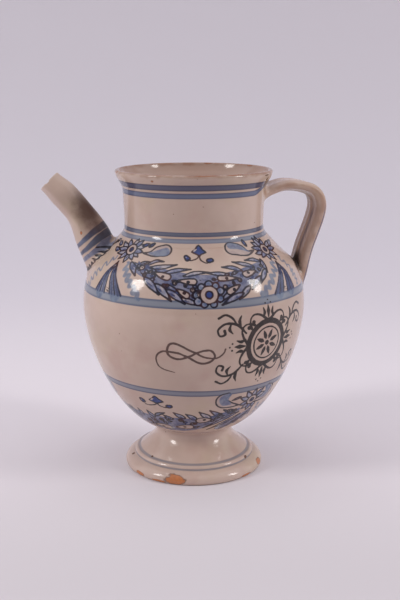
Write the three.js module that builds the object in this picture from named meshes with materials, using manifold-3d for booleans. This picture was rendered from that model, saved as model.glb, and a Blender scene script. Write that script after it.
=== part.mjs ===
import * as THREE from 'three'
import { mergeVertices } from 'three/addons/utils/BufferGeometryUtils.js'
import Module from 'manifold-3d'

// Maiolica jug on a spreading foot: millimetres, +Z up, spout towards -X, handle towards +X.
// Foot, body and neck are turned on the wheel. The spout and the strap handle are made apart.
// Every joint is luted: a fillet of slip is run round it, and each fillet is a piece here.

// Foot
const footHeight = 32
const footRadius = 51.3
const footEdgeHeight = 2.4
const restOuterRadius = 49.2
const restInnerRadius = 40.5
const footStepRadius = 44.5
const footStepBase = 9
const footStepTop = 12.5
const footToeRound = 0.6
const footToeRise = 0.8
const footSideRise = 2.8
const footGrooveRound = 2.2
const footGrooveDrop = 1.3
const footStepRound = 1.4
const footStepEdge = 1.1
const stemFlareRadius = 40.8
const stemFlareRun = 6.3
const stemFlareRise = 5.5
const stemStraight = 9
const waistRadius = 28
const stemWall = 5.5
const footHollowSlope = 4

// Collar, where the neck stands on the shoulder
const neckRadius = 49.8
const collarLedge = 4.7
const collarRadius = neckRadius + collarLedge
const shoulderSpread = 7.1
const shoulderRadius = collarRadius + shoulderSpread

// Body
const baseOverhang = 3
const baseRadius = waistRadius + baseOverhang
const baseSpread = 27.7
const baseSpreadRise = 11.1
const bellyRadius = 80.5
const bellyRise = 92
const bellyHeight = footHeight + bellyRise
const bellyFullBelow = 31.3
const bellyFullAbove = 29.5
const shoulderRise = 40.3
const shoulderHeight = bellyHeight + shoulderRise
const shoulderRound = 9.4
const shoulderRoundDrop = 10.7
const shoulderEase = 3
const shoulderEaseRise = 3.4
const collarRise = 7.7
const collarHeight = shoulderHeight + collarRise
const collarEase = 1.8
const collarEaseDrop = 2.1
const bodyWall = 4.6
const floorThickness = 6
const floorRadius = 18.6
const floorCorner = 0.5

// Neck with its everted lip
const neckTopRadius = 50.9
const neckWall = 4.2
const neckStraight = 10
const neckSwell = 0.4
const neckHeight = 48
const rimHeight = collarHeight + neckHeight
const lipRadius = 56.2
const lipDepth = 14
const lipFlare = 0.6
const lipFlareRise = 4.5
const lipCurl = 1
const lipInnerSlope = 3
const lipInnerDrop = 4.8
const crestThickness = 3.6

// Spout, measured along its centre line. It tapers and narrows at these shares of its length.
const spoutTipRadius = 8.6
const spoutElbowRadius = 10
const spoutRootRadius = 13.2
const spoutWall = 3.4
const spoutTipStandOff = 23
const spoutTipRise = 47
const spoutElbowStandOff = -1.2
const spoutElbowRise = 19.5
const spoutBow = 0.9
const spoutRootInset = 19
const spoutRootDrop = 20
const spoutTaperStart = 0.32
const spoutTaperEnd = 0.66
const spoutNarrowStart = 0.82
const spoutNarrowEnd = 1
const boreOverrun = 6
const boreRootOverrun = 12

// Strap handle, measured along its centre line
const handleTurn = THREE.MathUtils.degToRad(12)
const handleUpperDrop = 17.5
const handleUpperInset = 4
const handleUpperOutset = 5
const handleUpperSlope = 2
const handleCrownStandOff = 18
const handleCrownDrop = 12.2
const handleElbowStandOff = 12.3
const handleElbowDrop = 27
const handleElbowRound = 5
const handleElbowFall = 4.6
const handleGripStandOff = 2.5
const handleGripDrop = 60
const handleLowerRise = 14
const handleLowerSeat = 1.5
const handleLowerInset = 8
const handleLowerDip = 9
const strapWidth = 27
const strapRootWidth = 32
const strapThickness = 8
const strapGripThickness = 10
const thumbGroove = 0.9

// Shares of the strap's length over which it spreads at its roots and thickens to the grip,
// how square its section is, and the share of its width that the groove takes
const strapSpread = 0.21
const gripStart = 0.3
const gripFull = 0.5
const strapSquareness = 0.75
const thumbGrooveShare = 0.6

// Slip fillets and the clearance kept between a piece and what it is luted to
const neckFillet = 8
const footFillet = 3.4
const spoutFilletWidth = 4
const spoutFilletHeight = 5
const handleFilletWidth = 4
const handleFilletHeight = 6
const luteGap = 0.3
const filletSeat = 0.45
const filletFeather = 0.3

// The hollow section of a slip fillet, as shares of its width along the pot and of its height
// along the piece
const filletShape = [[0, 0.5], [0, 0], [0.5, 0], [1, 0], [0.5, 0.12], [0.18, 0.4], [0, 1]]

// Fineness of the round forms
const potSides = 40
const spoutSides = 20
const spoutSteps = 12
const strapSides = 18
const strapSteps = 26

const wasm = await Module()
wasm.setup()

const at = (radius, height) => new THREE.Vector2(radius, height)

function bend(from, leave, arrive, to, steps) {
  return new THREE.CubicBezierCurve(from, leave, arrive, to).getPoints(steps)
}

function chain(...stretches) {
  const points = stretches.flat()
  return points.filter((point, i) => i === 0 || point.distanceTo(points[i - 1]) > 1e-4)
}

// Moves an outline that is read upwards square to itself: outwards, or inwards below zero.
function offset(outline, distance) {
  return outline.map((point, i) => {
    const before = outline[Math.max(i - 1, 0)]
    const after = outline[Math.min(i + 1, outline.length - 1)]
    const along = after.clone().sub(before).normalize()
    return at(point.x + along.y * distance, point.y - along.x * distance)
  })
}

function radiusAt(outline, height) {
  const above = outline.findIndex((point) => point.y >= height)
  const high = outline[Math.max(above, 1)]
  const low = outline[Math.max(above, 1) - 1]
  return THREE.MathUtils.mapLinear(height, low.y, high.y, low.x, high.x)
}

function tidy(geometry) {
  const bare = new THREE.BufferGeometry()
  bare.setAttribute('position', geometry.getAttribute('position'))
  bare.setIndex(geometry.getIndex())
  const merged = mergeVertices(bare, 1e-4)
  const corners = merged.getIndex().array
  const kept = []
  for (let i = 0; i < corners.length; i += 3) {
    const [a, b, c] = corners.slice(i, i + 3)
    if (a !== b && b !== c && c !== a) kept.push(a, b, c)
  }
  merged.setIndex(kept)
  return merged
}

function solid(geometry) {
  const vertProperties = new Float32Array(geometry.getAttribute('position').array)
  const triVerts = new Uint32Array(geometry.getIndex().array)
  return new wasm.Manifold(new wasm.Mesh({ numProp: 3, vertProperties, triVerts }))
}

function surface(manifold) {
  const mesh = manifold.getMesh()
  const geometry = new THREE.BufferGeometry()
  geometry.setAttribute('position', new THREE.BufferAttribute(mesh.vertProperties, 3))
  geometry.setIndex(new THREE.BufferAttribute(mesh.triVerts, 1))
  return geometry
}

function turned(profile) {
  return tidy(new THREE.LatheGeometry(profile, potSides).rotateX(Math.PI / 2))
}

// Skins a row of rings, all with the same number of points, and closes both ends flat.
function lofted(rings) {
  const sides = rings[0].length
  const points = rings.flat()
  const faces = []
  for (let ring = 0; ring + 1 < rings.length; ring += 1) {
    for (let side = 0; side < sides; side += 1) {
      const a = ring * sides + side
      const b = ring * sides + ((side + 1) % sides)
      faces.push(a, b, b + sides)
      faces.push(a, b + sides, a + sides)
    }
  }
  const last = points.length - sides
  for (let side = 1; side + 1 < sides; side += 1) {
    faces.push(0, side + 1, side)
    faces.push(last, last + side, last + side + 1)
  }
  const geometry = new THREE.BufferGeometry().setFromPoints(points)
  geometry.setIndex(faces)
  return geometry
}

// Sets a flat section, given as (across, out) pairs, square to an upright curve in the XZ plane.
function ringOn(curve, u, section) {
  const centre = curve.getPointAt(u)
  const along = curve.getTangentAt(u)
  const out = new THREE.Vector3(-along.z, 0, along.x)
  return section.map(([across, away]) => {
    const point = centre.clone().addScaledVector(out, away)
    point.y += across
    return point
  })
}

function sweep(curve, steps, sectionAt) {
  const rings = []
  for (let step = 0; step <= steps; step += 1) {
    rings.push(ringOn(curve, step / steps, sectionAt(step / steps)))
  }
  return rings
}

function circle(radius) {
  const points = []
  for (let side = 0; side < spoutSides; side += 1) {
    const angle = (side / spoutSides) * 2 * Math.PI
    points.push([radius * Math.cos(angle), radius * Math.sin(angle)])
  }
  return points
}

// Outlines of the turned pieces, read upwards along their outer skin
function footOutline() {
  const rest = at(restOuterRadius, 0)
  const edge = at(footRadius, footEdgeHeight)
  const groove = at(footStepRadius, footStepBase)
  const step = at(stemFlareRadius, footStepTop)
  const top = at(waistRadius, footHeight)
  const sideTop = at(footRadius, footEdgeHeight + footSideRise)
  const grooveLip = at(footRadius - footGrooveRound, footStepBase - footGrooveDrop)
  const stepEdge = at(footStepRadius, footStepTop - footStepEdge)
  const stepLip = at(footStepRadius - footStepRound, footStepTop)
  const flare = at(stemFlareRadius - stemFlareRun, footStepTop + stemFlareRise)
  return chain(
    bend(rest, at(footRadius - footToeRound, 0), at(footRadius, footToeRise), edge, 3),
    bend(edge, sideTop, grooveLip, groove, 5),
    bend(groove, stepEdge, stepLip, step, 3),
    bend(step, flare, at(waistRadius, footHeight - stemStraight), top, 8),
  )
}

function bodyOutline() {
  const base = at(baseRadius, footHeight)
  const belly = at(bellyRadius, bellyHeight)
  const shoulder = at(shoulderRadius, shoulderHeight)
  const collar = at(collarRadius, collarHeight)
  const spread = at(baseRadius + baseSpread, footHeight + baseSpreadRise)
  const rounding = at(shoulderRadius + shoulderRound, shoulderHeight - shoulderRoundDrop)
  const easing = at(shoulderRadius - shoulderEase, shoulderHeight + shoulderEaseRise)
  const hollow = at(collarRadius + collarEase, collarHeight - collarEaseDrop)
  return chain(
    bend(base, spread, at(bellyRadius, bellyHeight - bellyFullBelow), belly, 12),
    bend(belly, at(bellyRadius, bellyHeight + bellyFullAbove), rounding, shoulder, 9),
    bend(shoulder, easing, hollow, collar, 3),
  )
}

function neckOutline() {
  const base = at(neckRadius, collarHeight)
  const turn = at(neckTopRadius, rimHeight - lipDepth)
  const lip = at(lipRadius, rimHeight - crestThickness / 2)
  const crest = at(lipRadius - crestThickness / 2, rimHeight)
  const swell = at(neckTopRadius - neckSwell, turn.y - neckStraight)
  const flare = at(neckTopRadius + lipFlare, turn.y + lipFlareRise)
  const curl = at(lipRadius - lipCurl, lip.y - lipFlareRise)
  return chain(
    bend(base, at(neckRadius, collarHeight + neckStraight), swell, turn, 5),
    bend(turn, flare, curl, lip, 5),
    bend(lip, at(lipRadius, lip.y + lipCurl), at(crest.x + lipCurl, rimHeight), crest, 3),
  )
}

function neckFilletOutline() {
  const low = at(collarRadius, collarHeight)
  const high = at(neckRadius + 2 * luteGap, collarHeight + neckFillet)
  const spread = at(collarRadius - collarEase, collarHeight + collarEaseDrop)
  return bend(low, spread, at(high.x, collarHeight + neckFillet / 2), high, 5)
}

// The skin of the whole pot above its waist, grown by a clearance
function potSkin(clearance) {
  const neck = neckOutline().filter((point) => point.y > collarHeight + neckFillet)
  return offset(chain(bodyOutline(), neckFilletOutline(), neck), clearance)
}

function potMass(clearance) {
  const skin = potSkin(clearance)
  return solid(turned([at(0, skin[0].y), ...skin, at(0, skin.at(-1).y)]))
}

// Turned pieces
function footSolid() {
  const hollow = bend(
    at(waistRadius - stemWall, footHeight),
    at(waistRadius - stemWall, footStepTop),
    at(restInnerRadius - footHollowSlope, footStepBase),
    at(restInnerRadius, 0),
    8,
  )
  const outline = footOutline()
  return turned([...outline, ...hollow, outline[0]])
}

function bodySolid() {
  const outline = bodyOutline()
  const floor = footHeight + floorThickness
  const ceiling = collarHeight - bodyWall
  const mouth = neckRadius - neckWall
  const inner = offset(outline, -bodyWall)
  const wall = inner.filter(({ y }) => y > floor + floorCorner && y < ceiling - floorCorner)
  const profile = [
    at(0, footHeight),
    ...outline,
    at(mouth, collarHeight),
    at(mouth, ceiling),
    ...wall.reverse(),
    at(floorRadius, floor),
    at(0, floor),
  ]
  return solid(turned(profile)).subtract(spoutBore())
}

function neckSolid() {
  const outline = neckOutline()
  const turn = rimHeight - lipDepth
  const inner = bend(
    at(lipRadius - crestThickness, rimHeight - crestThickness / 3),
    at(lipRadius - crestThickness - lipInnerSlope, rimHeight - crestThickness / 3 - lipInnerDrop),
    at(neckTopRadius - neckWall, turn + lipInnerSlope),
    at(neckTopRadius - neckWall, turn - lipInnerSlope),
    6,
  )
  const mouth = at(neckRadius - neckWall, collarHeight)
  return turned([...outline, ...inner, mouth, outline[0]])
}

// Fillets of the turned joints
function footLuteSolid() {
  const stem = footOutline()
  const under = footHeight - luteGap
  const low = under - footFillet
  const inner = [under, under - footFillet / 2, low].map(
    (height) => at(radiusAt(stem, height) + luteGap, height),
  )
  const start = at(inner.at(-1).x + filletFeather, low)
  const rim = at(baseRadius, under)
  const hollow = at(start.x + filletFeather, under - footFillet / 2)
  const outer = bend(start, hollow, at(rim.x - footFillet / 3, under - filletFeather), rim, 4)
  return turned([...outer, ...inner, start])
}

function neckLuteSolid() {
  const outer = neckFilletOutline().map((point) => at(point.x, Math.max(point.y, collarHeight + luteGap)))
  const neck = neckOutline()
  const high = outer.at(-1)
  const inner = [high.y, collarHeight + neckFillet / 2, collarHeight + luteGap].map(
    (height) => at(radiusAt(neck, height) + luteGap, height),
  )
  return turned([...outer, ...inner, outer[0]])
}

// Runs a fillet of slip round the place where a swept piece leaves the pot. The rings start
// inside the pot and already stand clear of the piece.
function filletRound(rings, width, height) {
  const skin = potSkin(filletSeat)
  const gap = (point) => Math.hypot(point.x, point.y) - radiusAt(skin, point.z)
  const sections = rings[0].map((_, side) => {
    const line = rings.map((ring) => ring[side])
    const i = line.findIndex((point) => gap(point) > 0)
    const share = gap(line[i - 1]) / (gap(line[i - 1]) - gap(line[i]))
    const corner = line[i - 1].clone().lerp(line[i], share)
    const middle = centreOf(rings[i - 1]).lerp(centreOf(rings[i]), share)
    const normal = skinNormal(skin, corner)
    const away = corner.clone().sub(middle)
    away.addScaledVector(normal, -away.dot(normal)).normalize()
    const rising = [corner, ...line.slice(i)]
    return filletShape.map(([out, up]) => {
      const point = walk(rising, up * height).addScaledVector(away, out * width)
      const short = Math.min(gap(point), 0)
      return point.addScaledVector(new THREE.Vector3(point.x, point.y, 0).normalize(), -short)
    })
  })
  return looped(sections)
}

function centreOf(ring) {
  const sum = ring.reduce((total, point) => total.add(point), new THREE.Vector3())
  return sum.divideScalar(ring.length)
}

function skinNormal(skin, point) {
  const reach = 0.5
  const rise = radiusAt(skin, point.z + reach) - radiusAt(skin, point.z - reach)
  const slope = rise / (2 * reach)
  return new THREE.Vector3(point.x, point.y, 0).normalize().setZ(-slope).normalize()
}

// The point of a line at some distance from its start
function walk(line, distance) {
  let left = distance
  for (let i = 0; i + 1 < line.length; i += 1) {
    const step = line[i].distanceTo(line[i + 1])
    if (left <= step) return line[i].clone().lerp(line[i + 1], left / step)
    left -= step
  }
  return line.at(-1).clone()
}

// Skins a closed loop of sections into a ring.
function looped(sections) {
  const size = sections[0].length
  const count = sections.length * size
  const faces = []
  for (let k = 0; k < count; k += size) {
    for (let j = 0; j < size; j += 1) {
      const next = (k + size) % count
      const a = k + j
      const b = k + ((j + 1) % size)
      faces.push(a, next + j, next + ((j + 1) % size))
      faces.push(a, next + ((j + 1) % size), b)
    }
  }
  const geometry = new THREE.BufferGeometry().setFromPoints(sections.flat())
  geometry.setIndex(faces)
  return geometry
}

// Spout
function spoutCurve() {
  const tip = [-bellyRadius - spoutTipStandOff, shoulderHeight + spoutTipRise]
  const elbow = [-bellyRadius - spoutElbowStandOff, shoulderHeight + spoutElbowRise]
  const root = [-bellyRadius + spoutRootInset, shoulderHeight - spoutRootDrop]
  const middle = [(tip[0] + elbow[0]) / 2 + spoutBow, (tip[1] + elbow[1]) / 2 + spoutBow]
  return new THREE.CatmullRomCurve3(
    [root, elbow, middle, tip].map(([x, z]) => new THREE.Vector3(x, 0, z)),
  )
}

function spoutRadius(u) {
  const taper = THREE.MathUtils.smoothstep(u, spoutTaperStart, spoutTaperEnd)
  const narrowing = THREE.MathUtils.smoothstep(u, spoutNarrowStart, spoutNarrowEnd)
  const tube = THREE.MathUtils.lerp(spoutRootRadius, spoutElbowRadius, taper)
  return THREE.MathUtils.lerp(tube, spoutTipRadius, narrowing)
}

// A straight round rod that carries an end of the curve on, for cutting
function rodBeyond(curve, u, radius, length) {
  const start = curve.getPointAt(u)
  const end = start.clone().addScaledVector(curve.getTangentAt(u), length)
  const line = u === 0 ? new THREE.LineCurve3(end, start) : new THREE.LineCurve3(start, end)
  return solid(lofted(sweep(line, 1, () => circle(radius))))
}

function spoutBore() {
  const curve = spoutCurve()
  const tube = lofted(sweep(curve, spoutSteps, (u) => circle(spoutRadius(u) - spoutWall)))
  const mouth = rodBeyond(curve, 1, spoutTipRadius - spoutWall, boreOverrun)
  const hole = rodBeyond(curve, 0, spoutRootRadius - spoutWall, -boreRootOverrun)
  return solid(tube).add(mouth).add(hole)
}

function spoutRings(clearance) {
  return sweep(spoutCurve(), spoutSteps, (u) => circle(spoutRadius(u) + clearance))
}

function spoutSolid() {
  return solid(lofted(spoutRings(0))).subtract(potMass(luteGap)).subtract(spoutBore())
}

function spoutLuteSolid() {
  return filletRound(spoutRings(luteGap), spoutFilletWidth, spoutFilletHeight)
}

// Handle
function handleCurve() {
  const upper = rimHeight - handleUpperDrop
  const lower = bellyHeight + handleLowerRise
  const crown = rimHeight - handleCrownDrop
  const elbow = bellyRadius + handleElbowStandOff
  const body = bodyOutline()
  return new THREE.CatmullRomCurve3(
    [
      [neckTopRadius - handleUpperInset, upper - handleUpperSlope],
      [neckTopRadius + handleUpperOutset, upper + handleUpperSlope],
      [neckTopRadius + handleCrownStandOff, crown],
      [elbow - handleElbowRound, crown - handleElbowFall],
      [elbow, rimHeight - handleElbowDrop],
      [bellyRadius + handleGripStandOff, rimHeight - handleGripDrop],
      [radiusAt(body, lower) - handleLowerSeat, lower],
      [radiusAt(body, lower) - handleLowerInset, lower - handleLowerDip],
    ].map(([x, z]) => new THREE.Vector3(x, 0, z)),
  )
}

const squared = (share) => Math.sign(share) * Math.abs(share) ** strapSquareness

// A pulled strap: round edges, a flat inner face and a shallow thumb groove along the outer face
function strapSection(u, clearance) {
  const toRoot = Math.max(1 - u / strapSpread, 1 - (1 - u) / strapSpread, 0)
  const width = THREE.MathUtils.lerp(strapWidth, strapRootWidth, toRoot)
  const grip = THREE.MathUtils.smoothstep(u, gripStart, gripFull)
  const thickness = THREE.MathUtils.lerp(strapThickness, strapGripThickness, grip)
  const points = []
  for (let side = 0; side < strapSides; side += 1) {
    const angle = (side / strapSides) * 2 * Math.PI
    const across = squared(Math.cos(angle))
    const away = squared(Math.sin(angle))
    const groove = away > 0 ? thumbGroove * Math.max(0, 1 - (across / thumbGrooveShare) ** 2) : 0
    points.push([
      across * (width / 2 + clearance),
      away * (thickness / 2 + clearance) - groove,
    ])
  }
  return points
}

function strapRings(clearance) {
  return sweep(handleCurve(), strapSteps, (u) => strapSection(u, clearance))
}

function handleSolid() {
  return solid(lofted(strapRings(0)).rotateZ(handleTurn)).subtract(potMass(luteGap))
}

function handleUpperLuteSolid() {
  return filletRound(strapRings(luteGap), handleFilletWidth, handleFilletHeight).rotateZ(handleTurn)
}

// Seen from the lower end the strap's section turns the other way round.
function handleLowerLuteSolid() {
  const rings = strapRings(luteGap).reverse().map((ring) => [...ring].reverse())
  return filletRound(rings, handleFilletWidth, handleFilletHeight).rotateZ(handleTurn)
}

// Finishes
const glaze = { color: 0xd9c3b2, roughness: 0.22, metalness: 0 }
const slip = { color: 0xcdb5a4, roughness: 0.3, metalness: 0 }
const footGlaze = { color: 0xd6bfae, roughness: 0.25, metalness: 0 }

function piece(name, geometry, finish) {
  const mesh = new THREE.Mesh(geometry, new THREE.MeshStandardMaterial(finish))
  mesh.name = name
  return mesh
}

const group = new THREE.Group()
group.add(
  piece('foot', footSolid(), footGlaze),
  piece('body', surface(bodySolid()), glaze),
  piece('neck', neckSolid(), glaze),
  piece('spout', surface(spoutSolid()), glaze),
  piece('handle', surface(handleSolid()), glaze),
  piece('foot_lute', footLuteSolid(), slip),
  piece('neck_lute', neckLuteSolid(), slip),
  piece('spout_lute', spoutLuteSolid(), slip),
  piece('handle_upper_lute', handleUpperLuteSolid(), slip),
  piece('handle_lower_lute', handleLowerLuteSolid(), slip),
)

// The origin is the middle of the jug's box, on the table.
const box = new THREE.Box3().setFromObject(group)
const middle = box.getCenter(new THREE.Vector3())
group.position.set(-middle.x, -middle.y, -box.min.z)

export default group
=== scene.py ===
import math

import bpy
import numpy as np
from mathutils.kdtree import KDTree
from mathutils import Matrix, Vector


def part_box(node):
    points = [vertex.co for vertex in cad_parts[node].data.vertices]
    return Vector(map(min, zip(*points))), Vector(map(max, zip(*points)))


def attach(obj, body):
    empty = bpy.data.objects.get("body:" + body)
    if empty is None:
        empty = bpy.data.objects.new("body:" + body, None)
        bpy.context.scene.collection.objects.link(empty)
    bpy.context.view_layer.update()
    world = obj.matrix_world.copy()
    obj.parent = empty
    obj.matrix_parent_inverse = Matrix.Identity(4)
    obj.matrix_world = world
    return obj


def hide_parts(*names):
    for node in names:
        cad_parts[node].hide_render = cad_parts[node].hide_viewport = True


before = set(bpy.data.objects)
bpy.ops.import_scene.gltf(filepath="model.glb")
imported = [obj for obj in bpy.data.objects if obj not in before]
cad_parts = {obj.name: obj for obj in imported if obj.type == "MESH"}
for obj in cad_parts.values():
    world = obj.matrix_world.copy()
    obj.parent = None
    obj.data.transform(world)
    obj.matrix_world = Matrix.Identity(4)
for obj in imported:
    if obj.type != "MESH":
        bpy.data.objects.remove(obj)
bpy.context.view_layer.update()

# Outlines and brushwork are given in millimetres from the pot's axis. The frame is in metres.
MM = 0.001
low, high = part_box("body")
AXIS = (low.x + high.x) / 2
MERGE = 0.002 * MM
SMOOTH_ANGLE = math.radians(50)


# Outlines and paths

def bend(start, leave, arrive, end, steps):
    """A curve that leaves start towards leave and reaches end from arrive."""
    t = np.linspace(0, 1, steps + 1)[:, None]
    corners = [np.array(p, float) for p in (start, leave, arrive, end)]
    weights = ((1 - t) ** 3, 3 * (1 - t) ** 2 * t, 3 * (1 - t) * t ** 2, t ** 3)
    return sum(weight * corner for weight, corner in zip(weights, corners))


def chain(*stretches):
    """Joins stretches end to end, with each shared point kept once."""
    points = np.vstack(stretches)
    steps = np.linalg.norm(np.diff(points, axis=0), axis=1)
    return points[np.concatenate([[True], steps > 1e-6])]


def run_of(points):
    """The length run from the first point to each point."""
    return np.concatenate([[0], np.cumsum(np.linalg.norm(np.diff(points, axis=0), axis=1))])


def resample(points, runs):
    """The places on a line at the lengths in runs."""
    run = run_of(points)
    return np.stack([np.interp(runs, run, column) for column in points.T], axis=1)


def smooth(points, steps):
    """A curve through the points, evenly spaced along its length."""
    p = np.array(points, float)
    if len(p) == 2:
        return p[0] + (p[1] - p[0]) * np.linspace(0, 1, steps + 1)[:, None]
    knots = np.concatenate([[0], np.cumsum(np.sqrt(np.linalg.norm(np.diff(p, axis=0), axis=1)))])
    slopes = np.gradient(p, knots, axis=0)
    t = np.linspace(0, knots[-1], steps * 8 + 1)
    i = np.clip(np.searchsorted(knots, t, side="right") - 1, 0, len(p) - 2)
    span = (knots[i + 1] - knots[i])[:, None]
    s = ((t - knots[i])[:, None]) / span
    curve = ((2 * s ** 3 - 3 * s ** 2 + 1) * p[i] + (s ** 3 - 2 * s ** 2 + s) * span * slopes[i]
             + (3 * s ** 2 - 2 * s ** 3) * p[i + 1] + (s ** 3 - s ** 2) * span * slopes[i + 1])
    return resample(curve, np.linspace(0, run_of(curve)[-1], steps + 1))


def shift(outline, distance):
    """Moves an outline square to itself, outwards where it reads upwards."""
    along = np.gradient(outline, axis=0)
    along /= np.linalg.norm(along, axis=1)[:, None]
    return outline + distance * np.stack([along[:, 1], -along[:, 0]], axis=1)


# The pot's main sizes, in millimetres
FOOT_RADIUS, FOOT_TOP = 51.3, 32
STEP_RADIUS, STEP_FOOT, STEP_TOP = 44.5, 9, 12.5
WAIST_RADIUS, WAIST_HEIGHT = 28, 27.6
BELLY_RADIUS, BELLY_HEIGHT = 80.5, 124
SHOULDER_RADIUS, SHOULDER_HEIGHT = 74.3, 151.5
SEAM_RADIUS, NECK_SEAM = 54.5, 172
NECK_RADIUS, NECK_TOP = 50.9, 206
RIM_RADIUS, RIM_TOP = 56.2, 220
BORE_RADIUS, MOUTH_RADIUS = 45.6, 53

# The pot's outlines, read upwards along its skin
foot_skin = chain(
    bend((49.2, 0), (50.7, 0), (FOOT_RADIUS, 0.8), (FOOT_RADIUS, 2.4), 5),
    bend((FOOT_RADIUS, 2.4), (FOOT_RADIUS, 5.2), (49.1, 7.7), (STEP_RADIUS, STEP_FOOT), 12),
    bend((STEP_RADIUS, STEP_FOOT), (44.6, 11.2), (43.1, STEP_TOP), (40.8, STEP_TOP), 8),
    bend((40.8, STEP_TOP), (34.5, 18), (WAIST_RADIUS, 22), (WAIST_RADIUS, WAIST_HEIGHT), 22),
    bend((WAIST_RADIUS, WAIST_HEIGHT), (WAIST_RADIUS, 29.6), (29, 31.2), (31, FOOT_TOP), 6),
)
foot_hollow = bend((22.5, 31.2), (22.5, 12.5), (36.5, 9), (40.5, 0), 16)
body_skin = chain(
    bend((31, FOOT_TOP), (58.7, 43.1), (BELLY_RADIUS, 92.7), (BELLY_RADIUS, BELLY_HEIGHT), 400),
    bend((BELLY_RADIUS, BELLY_HEIGHT), (BELLY_RADIUS, 133.4), (78.4, 143),
         (SHOULDER_RADIUS, SHOULDER_HEIGHT), 120),
    bend((SHOULDER_RADIUS, SHOULDER_HEIGHT), (72.2, 155.9), (66.8, 159.1), (61.6, 164.3), 80),
    bend((61.6, 164.3), (58.6, 167.7), (56.3, 169.9), (SEAM_RADIUS, NECK_SEAM), 40),
)
neck_skin = chain(
    bend((SEAM_RADIUS, NECK_SEAM), (52.7, 174.1), (50.2, 175.6), (49.9, 180), 12),
    bend((49.9, 180), (49.8, 188), (50.5, 197), (NECK_RADIUS, NECK_TOP), 12),
    bend((NECK_RADIUS, NECK_TOP), (51.5, 210.5), (55.2, 213.7), (RIM_RADIUS, 218.2), 14),
    bend((RIM_RADIUS, 218.2), (56.3, 219.3), (55.4, RIM_TOP), (54.4, RIM_TOP), 5),
    bend((54.4, RIM_TOP), (53.8, RIM_TOP), (53.3, 219.9), (MOUTH_RADIUS, 219.4), 4),
)
neck_bore = chain(
    bend((MOUTH_RADIUS, 219.4), (52.4, 217.5), (51.6, 215.8), (50.6, 214.2), 10),
    bend((50.6, 214.2), (49, 211.7), (46.9, 210), (46.9, 206.5), 14),
    bend((46.9, 206.5), (46.4, 196), (BORE_RADIUS, 182), (BORE_RADIUS, 171.4), 8),
)
# The neck's outer face up to just under the rim
neck_outer = neck_skin[:36]
pot_skin = chain(body_skin, neck_outer)
pot_run = run_of(pot_skin)


def rise(height):
    """The length run up the pot's skin to a height."""
    return np.interp(height, pot_skin[:, 1], pot_run)


def skin_radius(height):
    return np.interp(height, pot_skin[:, 1], pot_skin[:, 0])


# Modelling

def shaped(name, points):
    """Names the mesh that was just added, and moves its corners to their places."""
    piece = bpy.context.object
    piece.name = name
    piece.data.name = name
    piece.data.vertices.foreach_set("co", np.asarray(points, np.float32).ravel())
    return piece


def turned(name, outline, sides):
    """Turns an outline of (radius, height) round the pot's axis."""
    bpy.ops.object.select_all(action="DESELECT")
    bpy.ops.mesh.primitive_circle_add(vertices=len(outline), radius=MM, location=(0, 0, 0))
    piece = shaped(name, np.stack([outline[:, 0], 0 * outline[:, 0], outline[:, 1]], axis=1) * MM)
    piece.location.x = AXIS
    screw = piece.modifiers.new("turning", "SCREW")
    screw.axis = "Z"
    screw.angle = 2 * math.pi
    screw.steps = screw.render_steps = sides
    screw.use_merge_vertices = True
    screw.merge_threshold = MERGE
    bpy.ops.object.modifier_apply(modifier=screw.name)
    bpy.ops.object.transform_apply(location=True)
    return closed_piece(piece)


def swept(name, rings):
    """Wraps a sheet round a row of rings.
    It is closed by end rings shrunk to a point, or by a last ring that repeats the first."""
    rows, sides = rings.shape[:2]
    bpy.ops.object.select_all(action="DESELECT")
    bpy.ops.mesh.primitive_grid_add(x_subdivisions=sides, y_subdivisions=rows - 1, size=MM)
    return closed_piece(shaped(name, np.concatenate([rings, rings[:, :1]], axis=1)))


def closed_piece(piece):
    """Merges the seams, turns the faces outwards and smooths the shading."""
    bpy.ops.object.mode_set(mode="EDIT")
    bpy.ops.mesh.select_all(action="SELECT")
    bpy.ops.mesh.remove_doubles(threshold=MERGE)
    bpy.ops.mesh.normals_make_consistent(inside=False)
    bpy.ops.object.mode_set(mode="OBJECT")
    bpy.ops.object.shade_smooth_by_angle(angle=SMOOTH_ANGLE)
    return piece


def numbers(items, field, each=1, kind=float):
    """One field of all the items of a mesh, in a row."""
    row = np.empty(len(items) * each, kind)
    items.foreach_get(field, row)
    return row


def keep(piece, name, values):
    """Keeps a number on each of the piece's corners."""
    layer = piece.data.attributes.new(name, "FLOAT", "POINT")
    layer.data.foreach_set("value", values.astype(np.float32))


def places(piece):
    """Each corner's angle from the front, height and radius, in millimetres."""
    corners = numbers(piece.data.vertices, "co", 3).reshape(-1, 3)
    x, y, z = (corners - (AXIS, 0, 0)).T / MM
    return np.arctan2(x, -y), z, np.hypot(x, y)


def bake_map(piece, across, along):
    """Lays the surface out flat: across runs round the piece and along runs down its length."""
    mesh = piece.data
    corner = numbers(mesh.loops, "vertex_index", kind=int)
    count = numbers(mesh.polygons, "loop_total", kind=int)
    first = numbers(mesh.polygons, "loop_start", kind=int)
    u, v = across[corner], along[corner]
    for value in (u, v):
        most = np.repeat(np.maximum.reduceat(value, first), count)
        value[(most > 0.75) & (value < 0.25)] += 1
    layer = mesh.uv_layers.new(name="OFBake")
    layer.data.foreach_set("uv", np.clip(np.stack([u, v], axis=1), 0, 1).astype(np.float32).ravel())


def outline_map(piece, outline):
    """Lays a turned piece out flat by each corner's angle and its place along the outline."""
    angle, height, radius = places(piece)
    whole = np.vstack([outline, outline[:1]])
    runs = np.arange(0, run_of(whole)[-1], 0.2)
    spots, index = np.unique(np.round(np.stack([radius, height], axis=1), 1), axis=0, return_inverse=True)
    gap = np.linalg.norm(spots[:, None] - resample(whole, runs), axis=2)
    along = runs[np.argmin(gap, axis=1)][index.ravel()]
    bake_map(piece, (angle / (2 * math.pi)) % 1, along / (runs[-1] * 1.01))


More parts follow.
